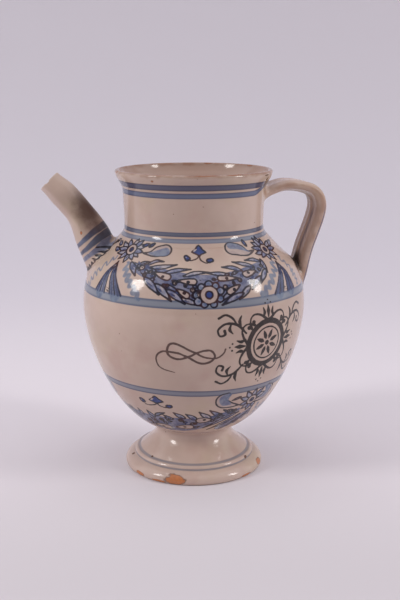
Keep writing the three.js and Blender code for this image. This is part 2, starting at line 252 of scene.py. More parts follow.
def mark_outer(piece, skin):
    """Marks the corners on a turned piece's outer face, where the bands are painted."""
    _, height, radius = places(piece)
    keep(piece, "outer", radius > np.interp(height, skin[:, 1], skin[:, 0]) - 1.2)


# Turned pieces
SIDES, NECK_SIDES = 288, 320
# Rows of faces lie closer together where the festoons are painted
FINE_ROW, WIDE_ROW = 1.35, 1.8
PLAIN_FROM, PLAIN_TO = 77, 134.5
BODY_WALL, BODY_SEAT, BODY_FLOOR = 4.6, 31.4, 38

foot_outline = np.vstack([foot_skin, foot_hollow])
foot = turned("foot_turned", foot_outline, SIDES)
outline_map(foot, foot_outline)
mark_outer(foot, foot_skin)

neck_outline = np.vstack([[(53.4, 171.2)], neck_skin, neck_bore[1:]])
neck = turned("neck_turned", neck_outline, NECK_SIDES)
outline_map(neck, neck_outline)
mark_outer(neck, neck_outer)

body_runs = np.concatenate([
    np.arange(0, rise(PLAIN_FROM), FINE_ROW), np.arange(rise(PLAIN_FROM), rise(PLAIN_TO), WIDE_ROW),
    np.arange(rise(PLAIN_TO), rise(NECK_SEAM) - FINE_ROW / 2, FINE_ROW), [rise(NECK_SEAM)]])
body_outer = resample(body_skin, body_runs)
body_inner = shift(resample(body_skin, np.linspace(8, rise(NECK_SEAM) - 6, 12)), -BODY_WALL)
body_inner = body_inner[body_inner[:, 1] > BODY_FLOOR + 2]
body_outline = np.vstack([[(0, BODY_SEAT), (29.4, BODY_SEAT)], body_outer,
                          [(BORE_RADIUS + 0.1, NECK_SEAM), (BORE_RADIUS, 167.4)],
                          body_inner[::-1], [(18.6, BODY_FLOOR), (0, BODY_FLOOR)]])
body = turned("body_thrown", body_outline, SIDES)


# Spout and handle

def pot_gap(points):
    """How far points stand outside the pot's skin, measured level."""
    return np.hypot(points[..., 0], points[..., 1]) - skin_radius(points[..., 2])


def skin_normal(points):
    """The direction square to the pot's skin beside each point."""
    slope = skin_radius(points[..., 2] + 0.5) - skin_radius(points[..., 2] - 0.5)
    out = points[..., :2] / np.linalg.norm(points[..., :2], axis=-1, keepdims=True)
    normal = np.concatenate([out, -slope[..., None]], axis=-1)
    return normal / np.linalg.norm(normal, axis=-1, keepdims=True)


def ease(values, start, end):
    """0 before start, 1 after end and a soft step between them."""
    t = np.clip((values - start) / (end - start), 0, 1)
    return t ** 2 * (3 - 2 * t)


def rings_along(curve, sections):
    """Sets sections of (across, out) points square to a curve in the upright plane of X."""
    along = np.gradient(curve, axis=0)
    along /= np.linalg.norm(along, axis=1)[:, None]
    out = np.stack([-along[:, 2], 0 * along[:, 0], along[:, 0]], axis=1)
    rings = curve[:, None] + sections[..., 1:] * out[:, None]
    rings[..., 1] += sections[..., 0]
    return rings


def flared(rings, width, height, smear=0.0, steps=12):
    """Trims rings that start inside the pot at its skin, and spreads their root over the skin."""
    outside = np.argmax(pot_gap(rings) > 0, axis=0)
    side = np.arange(rings.shape[1])
    inner, outer = pot_gap(rings)[outside - 1, side], pot_gap(rings)[outside, side]
    share = (inner / (inner - outer))[:, None]
    corner = rings[outside - 1, side] * (1 - share) + rings[outside, side] * share
    normal = skin_normal(corner)
    away = corner - corner.mean(axis=0)
    away -= (away * normal).sum(axis=1)[:, None] * normal
    away /= np.linalg.norm(away, axis=1)[:, None]
    reach = width * (1 + smear * np.clip(away[:, 2:], 0, 1))
    lines = [np.vstack([corner[s], rings[outside[s]:, s]]) for s in side]
    runs = [run_of(line) for line in lines]

    def row_at(distance):
        return np.array([[np.interp(distance(run[-1]), run, axis) for axis in line.T]
                         for line, run in zip(lines, runs)])

    rows = []
    for t in np.arange(steps) / steps:
        row = row_at(lambda length: height * t ** 2) + away * reach * (1 - t) ** 2.2
        sunk = np.minimum(pot_gap(row), 0) + (0.25 if t == 0 else 0)
        row[:, :2] -= sunk[:, None] * row[:, :2] / np.linalg.norm(row[:, :2], axis=1)[:, None]
        rows.append(row)
    for t in np.linspace(0, 1, len(rings)):
        rows.append(row_at(lambda length: height + t * (length - height)))
    return np.array(rows)


SPOUT_SIDES, STRAP_SIDES, PATH_STEPS = 144, 80, 110


def round_section(radius, ridge):
    """A hand-pressed tube: nearly round, with a soft ridge along its front and flatter sides."""
    angle = np.linspace(0, 2 * math.pi, SPOUT_SIDES, endpoint=False)
    turn = np.abs((angle - math.radians(158) + math.pi) % (2 * math.pi) - math.pi)
    swell = ridge * (np.exp(-(turn / 0.22) ** 2) - 0.8 * np.exp(-((turn - 0.75) / 0.4) ** 2))
    return np.stack([np.cos(angle), np.sin(angle)], axis=1) * (radius + swell)[:, None]


def strap_section(width, thickness):
    """A flattened oval with a shallow groove along its outer face and a rib along its inner one."""
    angle = np.linspace(0, 2 * math.pi, STRAP_SIDES, endpoint=False)
    across = np.sign(np.cos(angle)) * np.abs(np.cos(angle)) ** 0.75
    away = np.sign(np.sin(angle)) * np.abs(np.sin(angle)) ** 0.75
    groove = 0.9 * np.clip(1 - (across / 0.6) ** 2, 0, 1)
    from_rib = np.abs(across + 0.12)
    rib = 0.9 * np.exp(-(from_rib / 0.13) ** 2) - 0.5 * np.exp(-((from_rib - 0.42) / 0.2) ** 2)
    relief = np.where(away > 0, -groove, -rib)
    return np.stack([across * width / 2, away * thickness / 2 + relief * (np.abs(away) > 0.3)], axis=1)


def in_frame(points):
    """Turns places in millimetres from the pot's axis into places in the frame."""
    return points * MM + (AXIS, 0, 0)


SPOUT_PATH = ((-61.5, 0, 144.3), (-79.3, 0, 183.8), (-90.5, 0, 198.4), (-103.1, 0, 210.9))
SPOUT_WALL = 3.4
SPOUT_RADIUS, NOZZLE_RADIUS, TIP_RADIUS = 13.2, 10, 8.6
# The rounded lip as (share of the tip's size, step outwards), and the worn notch in it, row by row
LIP = ((0.975, 0.3), (0.91, 0.5), (0.8, 0.4), (0.69, 0.1), (0.61, -0.7))
NOTCH_SIDE, NOTCH_HALF = 72, 3.2
NOTCH_DEPTHS = (0, 0.4, 1.3, 1.7, 1.8, 1.8, 1.6, 1.0, 0.4, 0)


def scaled(ring, scale):
    """The ring drawn in or out about its middle."""
    middle = ring.mean(axis=0)
    return middle + (ring - middle) * scale


def spout_shape():
    """The spout's rings: its flared root, the bent tube, the lip with its worn notch, and the bore."""
    line = smooth(SPOUT_PATH, PATH_STEPS)
    share = np.linspace(0, 1, len(line))
    radii = SPOUT_RADIUS + (NOZZLE_RADIUS - SPOUT_RADIUS) * ease(share, 0.32, 0.66)
    radii += (TIP_RADIUS - radii) * ease(share, 0.82, 1)
    sections = [round_section(radius, 0.7 * ridge) for radius, ridge in zip(radii, ease(share, 0.15, 0.6))]
    outside = flared(rings_along(line, np.array(sections)), width=4.5, height=6, steps=16)
    pull = line[-1] - line[-2]
    pull /= np.linalg.norm(pull)
    lip = [scaled(outside[-1], scale) + pull * step for scale, step in LIP]
    bore_radii = np.interp(np.linspace(1, 0.2, 27), share, radii)
    bore = [scaled(ring, 1 - SPOUT_WALL / radius) for ring, radius in zip(outside[:20:-4], bore_radii)]
    # The bore's mouth inside the pot, drawn back from the flare
    mouth = outside[0].copy()
    mouth[:, :2] *= 1 - 3.6 / np.linalg.norm(mouth[:, :2], axis=1)[:, None]
    rings = np.concatenate([outside, lip, bore, [scaled(mouth, 0.56)]])
    notch = np.exp(-((np.arange(SPOUT_SIDES) - NOTCH_SIDE) / NOTCH_HALF) ** 2)
    for row, depth in enumerate(NOTCH_DEPTHS, len(outside) - 3):
        rings[row] -= pull * depth * notch[:, None]
    return in_frame(rings)


HANDLE_PATH = ((38, 0, 196.5), (46.9, 0, 200.5), (55.9, 0, 204.5), (68.9, 0, 207.8),
               (87.7, 0, 203.2), (92.7, 0, 193), (83, 0, 160), (76.8, 0, 138), (70.3, 0, 129))
STRAP_WIDTH, END_WIDENING = 27, 5
STRAP_THICKNESS, GRIP_THICKENING = 8, 2
HANDLE_TURN = math.radians(12)


def handle_shape():
    """The handle's rings: a strap that widens at both ends and spreads over the pot, turned a little back."""
    line = smooth(HANDLE_PATH, PATH_STEPS)
    share = np.linspace(0, 1, len(line))
    to_end = np.clip(np.maximum(1 - share / 0.21, 1 - (1 - share) / 0.21), 0, 1)
    sections = [strap_section(STRAP_WIDTH + END_WIDENING * wide, STRAP_THICKNESS + GRIP_THICKENING * thick)
                for wide, thick in zip(to_end, ease(share, 0.3, 0.5))]
    strap = rings_along(line, np.array(sections))
    half = len(strap) // 2
    upper = flared(strap[:half], width=5, height=7, smear=0.7)
    lower = flared(strap[:half - 2:-1], width=5, height=7)[::-1]
    ends = [np.repeat(ring.mean(axis=0, keepdims=True) - (3, 0, 0), len(ring), axis=0)[None]
            for ring in (upper[0], lower[-1])]
    strap = np.concatenate([ends[0], upper, lower[1:], ends[1]])
    c, s = math.cos(HANDLE_TURN), math.sin(HANDLE_TURN)
    return in_frame(strap @ np.array([[c, -s, 0], [s, c, 0], [0, 0, 1]]).T)


def sweep_map(piece, rings):
    """Keeps each corner's place round and along a swept piece, and lays its surface out flat."""
    rows, sides = rings.shape[:2]
    flat = rings.reshape(-1, 3)
    round_share = np.tile(np.arange(sides) / sides, rows)
    along = np.repeat(run_of(rings.mean(axis=1)), sides)
    tree = KDTree(len(flat))
    for index, point in enumerate(flat):
        tree.insert(point, index)
    tree.balance()
    corners = numbers(piece.data.vertices, "co", 3).reshape(-1, 3)
    found = np.array([tree.find(point)[1] for point in corners])
    keep(piece, "round_share", round_share[found])
    keep(piece, "along", along[found])
    bake_map(piece, round_share[found], along[found] / along.max())


spout_rings = spout_shape()
spout = swept("spout_pulled", np.concatenate([spout_rings, spout_rings[:1]]))
handle_rings = handle_shape()
handle = swept("handle_strap", handle_rings)
sweep_map(spout, spout_rings)
sweep_map(handle, handle_rings)


# Brushwork

strokes = []
# What a layer holds where no stroke is near
FAR = 30.0
# Paint takes from just under the pot's skin to as far out as the spout's flare
PAINT_UNDER, PAINT_OVER = -1, 11
SMALL_RADIUS = 40


def draw(layer, path, widths, turn=0.0):
    """Notes a stroke through points (degrees, height).
    Widths are half the stroke's, at even steps along it."""
    strokes.append((layer, path, widths, turn))


class Canvas:
    """The strokes laid on a piece's skin. A layer holds each corner's distance from its strokes, in mm."""

    def __init__(self, piece):
        angle, height, radius = places(piece)
        self.piece = piece
        over = radius - skin_radius(height)
        self.skin = np.flatnonzero((over > PAINT_UNDER) & (over < PAINT_OVER))
        self.angle = angle[self.skin]
        self.radius = radius[self.skin]
        self.run = rise(height[self.skin])
        self.layers = {}
        for stroke in strokes:
            self.stroke(*stroke)

    def stroke(self, layer, path, widths, turn):
        """Lays one stroke: the skin is taken as flat, in millimetres round and up the pot."""
        path = np.array(path, float).reshape(-1, 2)
        middle = skin_radius(path[:, 1]).mean()
        flat = np.stack([np.radians(path[:, 0] + turn) * middle, rise(path[:, 1])], axis=1)
        widths = np.atleast_1d(np.array(widths, float))
        steps = int(np.linalg.norm(np.diff(flat, axis=0), axis=1).sum() / (0.3 + 0.15 * widths.max())) + 3
        line = smooth(flat, steps) if len(flat) > 1 else flat
        half = np.interp(np.linspace(0, 1, len(line)), np.linspace(0, 1, len(widths)), widths)
        turns = line[:, 0] / middle
        centre = turns.mean()
        reach = half.max() + 3
        offset = (self.angle - centre + math.pi) % (2 * math.pi) - math.pi
        near = np.flatnonzero((np.abs(offset) < np.abs(turns - centre).max() + reach / SMALL_RADIUS)
                              & (np.abs(self.run - line[:, 1].mean()) < np.ptp(line[:, 1]) + reach))
        if not len(near):
            return
        values = self.layers.setdefault(layer, np.full(len(self.skin), FAR))
        for part in np.array_split(np.arange(len(line)), len(line) // 16 + 1):
            turn_part, run_part = turns[part] - centre, line[part, 1]
            aside = np.abs(offset[near] - turn_part.mean()) < np.ptp(turn_part) / 2 + reach / SMALL_RADIUS
            level = np.abs(self.run[near] - run_part.mean()) < np.ptp(run_part) / 2 + reach
            close = near[aside & level]
            radii = (self.radius[close, None] + np.interp(run_part, pot_run, pot_skin[:, 0])) / 2
            across = (offset[close, None] - turn_part) * radii
            gap = np.hypot(across, self.run[close, None] - run_part) - half[part]
            values[close] = np.minimum(values[close], gap.min(axis=1, initial=FAR))

    def save(self):
        """Keeps each layer on the piece's corners."""
        for name, values in self.layers.items():
            whole = np.full(len(self.piece.data.vertices), FAR)
            whole[self.skin] = values
            keep(self.piece, name, whole)


rng = np.random.default_rng(11)
# Millimetres to a degree round the shoulder, and along its slope to a millimetre of height
PER_DEGREE, PER_RISE = 1.2, 1.3
# The swell of a leaf and of an almond along their length
LEAF = np.array([0.25, 0.7, 0.95, 1.0, 0.85, 0.6, 0.3, 0.08])
ALMOND = np.array([0.12, 0.5, 0.8, 0.96, 1.0])
PALE_AND_DEEP = ("leaf_a", "leaf_b")


def bowed(start, end, bow):
    """A path from start to end that bulges sideways by bow millimetres."""
    start, end = np.array(start, float), np.array(end, float)
    across, up = (end[0] - start[0]) * PER_DEGREE, end[1] - start[1]
    side = np.array([-up / PER_DEGREE, across]) / max(math.hypot(across, up), 0.1)
    return [start, (start + end) / 2 + side * bow, end]


def shaken(path, amount=0.22):
    """The path with the small misses of a hand."""
    path = np.array(path, float).reshape(-1, 2)
    return path + rng.normal(0, amount, path.shape) * (1 / PER_DEGREE, 1)


def leaf(layer, start, end, half, turn, bow=0.4, vein=True):
    """A pointed leaf with a vein and a shade along its lower edge."""
    path = shaken(bowed(start, end, bow * rng.uniform(0.5, 1.5)))
    draw(layer, path, LEAF * half, turn)
    if vein:
        line = smooth(path, 10)
        draw("ink", line[2:7], (0.12, 0.24, 0.05), turn)
        draw("deep", line[1:6] - (0, 0.35 * half), (0.2, 0.34 * half, 0.1), turn)


def eye(point, back, half, turn):
    """A pale almond with a dark dot, pointed at one end and round at the back."""
    point, back = np.array(point), np.array(back)
    away = (back - point) * (PER_DEGREE, 1)
    centre = back - half * away / np.linalg.norm(away) / (PER_DEGREE, 1)
    draw("cream", [point, (point + centre) / 2, centre], ALMOND * half * 1.2, turn)
    draw("ink", shaken(point * 0.35 + centre * 0.65, 0.3), 1.25, turn)


def rosette(centre, tips, turn):
    """A side flower: a pale ring with a dark heart among pointed petals."""
    centre = np.array(centre)
    for index, tip in enumerate(tips):
        way = np.array(tip) - centre
        leaf(PALE_AND_DEEP[index % 2], centre + way * 0.3, centre + way, 1.9, turn, 0.2, index % 3 == 0)
    draw("cream", centre, 4.4, turn)
    draw("blue", centre, 1.7, turn)
    draw("ink", centre, 0.8, turn)


def wavy(start, end, waves, sway):
    """A path that swings from side to side on its way."""
    t = np.linspace(0, 1, waves * 4 + 1)[:, None]
    path = np.array(start) + (np.array(end) - np.array(start)) * t
    way = (np.array(end) - np.array(start)) * (PER_DEGREE, 1)
    side = np.array([-way[1] / PER_DEGREE, way[0]]) / np.linalg.norm(way)
    return path + side * np.sin(t * waves * 2 * math.pi) * sway


# The upper festoon: leaves as (root angle, height, tip angle, height, half width)
UPPER_LEAVES = (
    (-34.2, 160.6, -27.5, 162.9, 0.8), (-28.6, 161.2, -18.3, 163.8, 0.9), (-25.8, 159.6, -10.0, 161.6, 1.3),
    (-16.0, 157.3, -1.6, 159.4, 1.2), (-5.5, 156.0, 8.2, 158.0, 1.1), (-40.6, 161.3, -32.6, 154.6, 1.5),
    (-30.3, 161.0, -34.4, 158.2, 1.0), (-26.0, 154.0, -17.6, 144.1, 1.7), (-19.5, 150.5, -10.9, 140.7, 1.7),
    (-13.5, 147.6, -4.2, 139.1, 1.5), (-6.5, 142.6, 2.9, 138.3, 1.2), (-15.8, 150.8, -6.3, 145.5, 1.0),
    (18.9, 156.4, 6.6, 157.9, 1.1), (27.6, 157.9, 16.2, 160.5, 1.2), (36.5, 159.6, 23.9, 162.9, 1.2),
    (44.4, 161.3, 32.7, 163.3, 1.0), (29.6, 148.4, 22.6, 141.2, 1.4), (25.2, 144.8, 13.9, 138.0, 1.4),
    (21.1, 146.6, 12.6, 140.4, 1.1), (43.6, 157.4, 36.3, 149.0, 1.3), (45.4, 162.4, 43.9, 155.2, 1.3),
    (37.4, 153.6, 30.4, 146.4, 1.3),
)
UPPER_EYES = (
    (-21.7, 157.3, -12.4, 154.8, 2.1), (-8.0, 153.4, 1.4, 152.8, 1.8), (-8.3, 148.2, -2.3, 143.6, 1.7),
    (23.5, 154.1, 12.6, 154.7, 1.7), (36.3, 157.1, 27.4, 155.5, 2.0), (23.8, 149.9, 16.7, 145.5, 1.8),
)
UPPER_RINGS = (
    (-30.9, 159.3, 1.6), (-24.6, 157.5, 1.0), (-9.7, 151.9, 1.1), (-0.6, 147.9, 1.2), (2.0, 144.8, 1.2),
    (15.9, 149.2, 1.2), (24.4, 152.9, 1.1), (39.1, 157.5, 1.0), (42.3, 159.1, 1.1), (-13.4, 150.3, 0.8),
    (-27.2, 155.5, 1.0), (31.2, 151.2, 1.0), (20.6, 151.4, 0.7), (-4.2, 150.6, 0.8), (10.4, 154.2, 0.8),
)
UPPER_GROUND = ((-38, 159.8), (-30, 158.2), (-20, 155.8), (-10, 152.2), (0, 149.4), (7.5, 148.4),
                (15, 149.5), (25, 153.2), (34, 157.0), (42, 159.6))
UPPER_GROUND_HALF = (2.6, 4.6, 6.2, 8.4, 9.6, 10.2, 9.6, 7.4, 4.9, 2.8)
LEFT_PETALS = ((-46.3, 175), (-40.5, 174.6), (-35.3, 172.6), (-36.0, 167.6), (-38.2, 165.0), (-41.4, 162.4),
               (-47.0, 161.0), (-53.8, 161.8), (-59.2, 164.4), (-62.2, 167.6), (-61.0, 171.6), (-55.0, 174.2))
RIGHT_PETALS = ((54.7, 175.8), (59.8, 174.0), (46.3, 173.3), (44.0, 169.9), (44.3, 166.4), (48.9, 163.2),
                (54.3, 161.5), (59.6, 160.6), (66.0, 162.6), (70.2, 166.4), (69.6, 171.2), (50.4, 175.4))
FLOWER_PETALS = ((3.8, 149.5), (7.4, 151.2), (10.9, 150.0), (13.2, 146.9), (13.0, 142.2), (9.4, 138.7),
                 (5.3, 138.7), (2.2, 140.9), (1.4, 144.6))


def tassel(apex, foot_left, foot_right, turn):
    """Two bundles of tapering stripes with a pale gap and a squiggle between them."""
    apex = np.array(apex)
    base = np.linspace(foot_left, foot_right, 11)
    for index, point in enumerate(base):
        path = shaken(bowed(apex, point, 0.5 * (index - 5) / 5), 0.12)
        if index % 2 == 0:
            draw("ink", path, (0.35, 0.42, 0.55), turn)
        if index != 5:
            draw("deep", path, (0.3, 0.6, 1.0), turn)
    for first, second in ((0, 4), (6, 10)):
        middle = (base[first] + base[second]) / 2
        spread = abs(base[second][0] - base[first][0]) / 2 * PER_DEGREE
        draw("soft", [apex, middle], (0.3, spread), turn)
    squiggle = base[5] + np.array([(-0.9, 3.4), (0.8, 2.8), (-0.8, 1.8), (0.9, 1.2), (0, 0.6)])
    draw("ink", squiggle, 0.26, turn)


def sprig(bud, left, right, turn):
    """A spade-shaped bud on two curling tendrils with a small bud on each."""
    bud, left, right = np.array(bud), np.array(left), np.array(right)
    draw("blue", bud + [(-4.4, 0), (0, 0.3), (4.3, -0.2)], (0.3, 1.6, 2.7, 1.6, 0.3), turn)
    draw("blue", bud + [(-0.1, 3.8), (0, 0.4), (0.2, -2.2)], (0.25, 1.7, 2.5, 1.6, 0.4), turn)
    draw("light", bud + [(-3.7, 0.1), (-2.7, 1.0), (-1.5, 1.7)], (0.3, 0.75, 0.2), turn)
    for end in (left, right):
        drop_to = min(end[1] - bud[1], -3.4) - 1.3
        curve = np.array([(0, 0.4), (0.14, 0.74), (0.4, 0.94), (0.67, 1.04), (0.9, 0.94)])
        draw("ink", bud + curve * (end[0] - bud[0], drop_to), 0.55, turn)
    draw("blue", left + [(-0.6, 0.6), (0.5, -0.5)], (1.2, 1.6), turn)
    draw("blue", right + [(-0.7, -0.2), (0.8, 0.1)], (1.5, 1.3), turn)
    draw("light", left + (-0.5, 0.3), 0.45, turn)


def drop(path, widths, shade, turn):
    """A pale drop with a wash over its upper side."""
    draw("cream", path, widths, turn)
    draw("soft_top", shade[0], shade[1], turn)


def hatching(path, halves, centre, count, turn):
    """Short dark strokes that lean away from the middle flower."""
    steps = np.arange(len(path))
    for step in rng.uniform(0.02, 0.98, count) * steps[-1]:
        a, b = (np.interp(step, steps, values) for values in np.transpose(path))
        reach = np.interp(step, steps, halves) * 0.62
        start = np.array([a, b + rng.uniform(-reach, reach)])
        lean = np.array([math.copysign(1, a - centre) * rng.uniform(2.0, 4.5), rng.uniform(0.2, 2.6)])
        layer, wide = (("hatch", 0.55), ("hatch", 0.5), ("deep", 1.0), ("leaf_b", 1.1))[rng.integers(4)]
        draw(layer, bowed(start, start + lean, 0.3), (0.15, wide, 0.1), turn)


UPPER_FLOWER = (7.5, 144.8)
UPPER_BEADS = (((-38.2, 171.6), (-34.6, 172.7)), ((-32.6, 171.6), (-30.0, 173.3)),
               ((39.2, 174.6), (40.2, 171.6)))
RIBBONS = (((-43.6, 160.6), (-27.6, 141.0)), ((54.6, 160.4), (35.6, 141.0)))
OUTER_RIBBONS = (((-57.0, 163.0), (-72.0, 140.8)), ((65.0, 161.6), (69.5, 142.6)))
OUTER_LEAVES = (((-60.4, 166.6), (-67.0, 167.6)), ((-62.0, 170.2), (-68.4, 171.6)),
                ((66.0, 168.8), (74.4, 171.6)))


def upper_festoon(turn):
    """A garland with a middle flower, hung from two side flowers with tassels and ribbons."""
    draw("garland", UPPER_GROUND, UPPER_GROUND_HALF, turn)
    hatching(UPPER_GROUND, UPPER_GROUND_HALF, UPPER_FLOWER[0], 70, turn)
    for index, (a, b, c, d, half) in enumerate(UPPER_LEAVES):
        bow = 0.5 if c > a else -0.5
        leaf(PALE_AND_DEEP[index % 2], (a, b), (c, d), half * 1.35, turn, bow)
    for a, b, c, d, half in UPPER_EYES:
        eye((a, b), (c, d), half, turn)
    for a, b, half in UPPER_RINGS:
        draw("cream", (a, b), half * 1.15, turn)
        draw("ink", shaken((a, b), 0.15), 0.6, turn)
    for petal in FLOWER_PETALS:
        draw("petal", shaken(petal, 0.25), rng.uniform(2.1, 2.5), turn)
        draw("soft_top", shaken(petal, 0.4), 1.1, turn)
    draw("cream", UPPER_FLOWER, 6.0, turn)
    draw("blue", UPPER_FLOWER, 2.4, turn)
    drop([(-35, 167.4), (-29, 167.7), (-24, 169.4), (-20, 170.0)], (0.2, 1.5, 3.9, 4.5),
         ([(-31, 167.6), (-25, 168.2), (-19.6, 169.2)], (0.5, 2.4, 3.3)), turn)
    drop([(44.5, 168.2), (38, 167.4), (32.5, 169.6), (27.2, 170.8)], (0.2, 1.6, 4.4, 4.8),
         ([(40, 168.0), (33, 171.2), (27, 172.4)], (0.4, 1.8, 2.6)), turn)
    sprig((3.4, 169.6), (-4.4, 166.2), (10.1, 164.7), turn)
    rosette((-47.3, 168.4), LEFT_PETALS, turn)
    rosette((56.6, 167.4), RIGHT_PETALS, turn)
    for bead in UPPER_BEADS:
        draw("blue", bead, (0.7, 1.3, 0.7), turn)
    tassel((-51.5, 160.8), (-59.4, 140.9), (-38.6, 141.0), turn)
    tassel((57.6, 160.0), (44.4, 141.0), (62.4, 141.4), turn)
    for start, end in RIBBONS:
        draw("soft", shaken(wavy(start, end, 6, 1.5), 0.3), (0.9, 1.5, 1.1, 1.7, 1.2, 1.8, 1.4), turn)
    for start, end in OUTER_RIBBONS:
        draw("soft", shaken(wavy(start, end, 6, 2.2), 0.3), 0.75, turn)
    for start, end in OUTER_LEAVES:
        leaf("leaf_b", start, end, 1.6, turn)


# The lower zone, laid out the same way
LOWER_LEAVES = (
    (-58.5, 50.6, -60.2, 56.9, 1.2), (-49.8, 49.6, -53.0, 55.7, 1.2), (-41.2, 49.6, -44.4, 55.1, 1.2),
    (-31.1, 50.5, -35.0, 55.5, 1.3), (-30.0, 51.6, -20.6, 55.8, 1.0), (-15.6, 50.4, -22.2, 54.0, 1.1),
    (-6.5, 51.8, -14.0, 57.2, 1.5), (2.0, 51.5, -5.4, 56.2, 1.5), (12.2, 52.0, 3.4, 58.2, 1.5),
    (20.0, 53.0, 10.9, 59.4, 1.4), (29.0, 54.2, 20.0, 58.8, 1.1),
    (33.5, 55.0, 8.0, 42.0, 1.2), (36.4, 52.2, 12.5, 39.6, 1.0),
)
LOWER_EYES = ((-35.0, 42.6, -21.8, 40.8, 1.3), (-15.0, 42.1, -1.6, 43.1, 1.3), (13.4, 50.4, 2.8, 49.8, 1.3))
LOWER_RINGS = ((24.9, 57.3, 1.0), (29.4, 56.7, 0.9), (0.9, 46.6, 0.7), (-9.6, 49.6, 0.9), (-39.1, 45.5, 0.9),
               (18.8, 54.8, 0.8), (-25.6, 48.8, 0.9), (-47.5, 48.0, 0.9), (-55.0, 52.0, 0.9))
LOWER_PETALS = ((40.5, 72.9), (33.8, 71.8), (30.2, 67.3), (31.4, 61.5), (34.6, 56.8), (39.8, 54.8),
                (45.2, 56.2), (50.2, 61.0), (51.0, 67.6), (47.4, 72.0))
LOWER_GROUND = ((-60, 52.5), (-50, 47.8), (-40, 45.0), (-28, 44.0), (-14, 44.2), (0, 45.6), (12, 49.0),
                (22, 53.6), (32, 57.0))
LOWER_GROUND_HALF = (3.4, 6.8, 9.4, 10.6, 10.4, 8.8, 6.4, 3.8, 1.8)
CRESCENT = np.array([(20.6, 72.0), (17.0, 69.4), (17.4, 65.6), (22.6, 63.0), (30.5, 61.4)])
CRESCENT_SHADE = np.array([(21.6, 71.8), (18.8, 69.2), (19.4, 65.6), (23.6, 63.6)])


def crescent(turned_over, turn):
    """A pale crescent beside the lower flower, or its mirror image on the far side."""
    side, moved = ((-1, 1), (-48, 0)) if turned_over else ((1, 1), (0, 0))
    drop(CRESCENT * side + moved, (1.6, 3.6, 3.8, 2.0, 0.2),
         (CRESCENT_SHADE * side + moved, (1.6, 3.6, 3.0, 0.8)), turn)


def lower_festoon(turn):
    """A garland like the upper one, hung from a single flower."""
    draw("garland", LOWER_GROUND, LOWER_GROUND_HALF, turn)
    draw("garland", ((44, 55), (36, 47.5), (25, 40.5)), (1.0, 4.0, 4.4), turn)
    hatching(LOWER_GROUND, LOWER_GROUND_HALF, -14, 60, turn)
    for index, (a, b, c, d, half) in enumerate(LOWER_LEAVES):
        leaf(PALE_AND_DEEP[index % 2], (a, b), (c, d), half * 1.3, turn, 0.3)
    for a, b, c, d, half in LOWER_EYES:
        eye((a, b), (c, d), half * 2.1, turn)
    for a, b, half in LOWER_RINGS:
        draw("cream", (a, b), half * 1.7, turn)
        draw("ink", (a, b), 0.9, turn)
    sprig((-23.9, 66.4), (-34.4, 65.0), (-15.9, 62.6), turn)
    for turned_over in (False, True):
        crescent(turned_over, turn)
    rosette((40.4, 63.7), LOWER_PETALS, turn)
    for point in ((46, 49), (42, 46), (37, 43), (32, 40.5), (26, 38.4)):
        draw("deep", [(45.5, 56), point], (0.3, 0.9), turn)
        draw("ink", [(45.0, 55.4), (point[0] - 2, point[1])], (0.25, 0.35), turn)
    leaf("leaf_a", (29.6, 68.6), (24.4, 66.4), 0.9, turn)
    draw("soft", wavy((50, 58), (58, 44), 3, 1.0), 0.9, turn)


# The knot flourish and, beside it, a medallion with scrolls
KNOT = (
    -9.8, 91.3, -12.9, 92.4, -15.7, 93.5, -17.8, 95.5, -18.8, 99.0, -18.7, 102.2, -17.4, 105.0, -15.2, 106.6,
    -13.1, 106.8, -10.4, 106.4, -7.2, 105.7, -4.6, 104.1, -2.5, 102.8, -0.2, 100.8, 2.2, 99.0, 4.6, 98.3,
    7.3, 99.0, 9.4, 100.9, 10.3, 103.5, 9.5, 106.0, 8.0, 107.7, 5.9, 107.8, 3.6, 107.2, 1.0, 105.9,
    -1.3, 104.1, -3.7, 102.8, -7.0, 101.5, -9.6, 102.0, -12.0, 103.8, -12.9, 106.0, -12.7, 109.1,
    -11.7, 111.7, -10.2, 112.7, -7.9, 112.2, -4.8, 110.2, -1.9, 107.9, 1.3, 105.9, 3.3, 104.1, 5.7, 102.7,
    8.4, 102.0, 11.1, 101.9, 13.5, 103.7, 14.9, 105.8, 15.4, 108.1)
MEDALLION = np.array([38.5, 109.0])
# Millimetres to a degree round the belly
BELLY_DEGREE = math.radians(80.2)


def about(radius, angle):
    """Points round the medallion, from radii in millimetres and angles in degrees."""
    a = np.radians(angle)
    return MEDALLION + np.stack([radius * np.cos(a) / BELLY_DEGREE, radius * np.sin(a)], axis=-1)


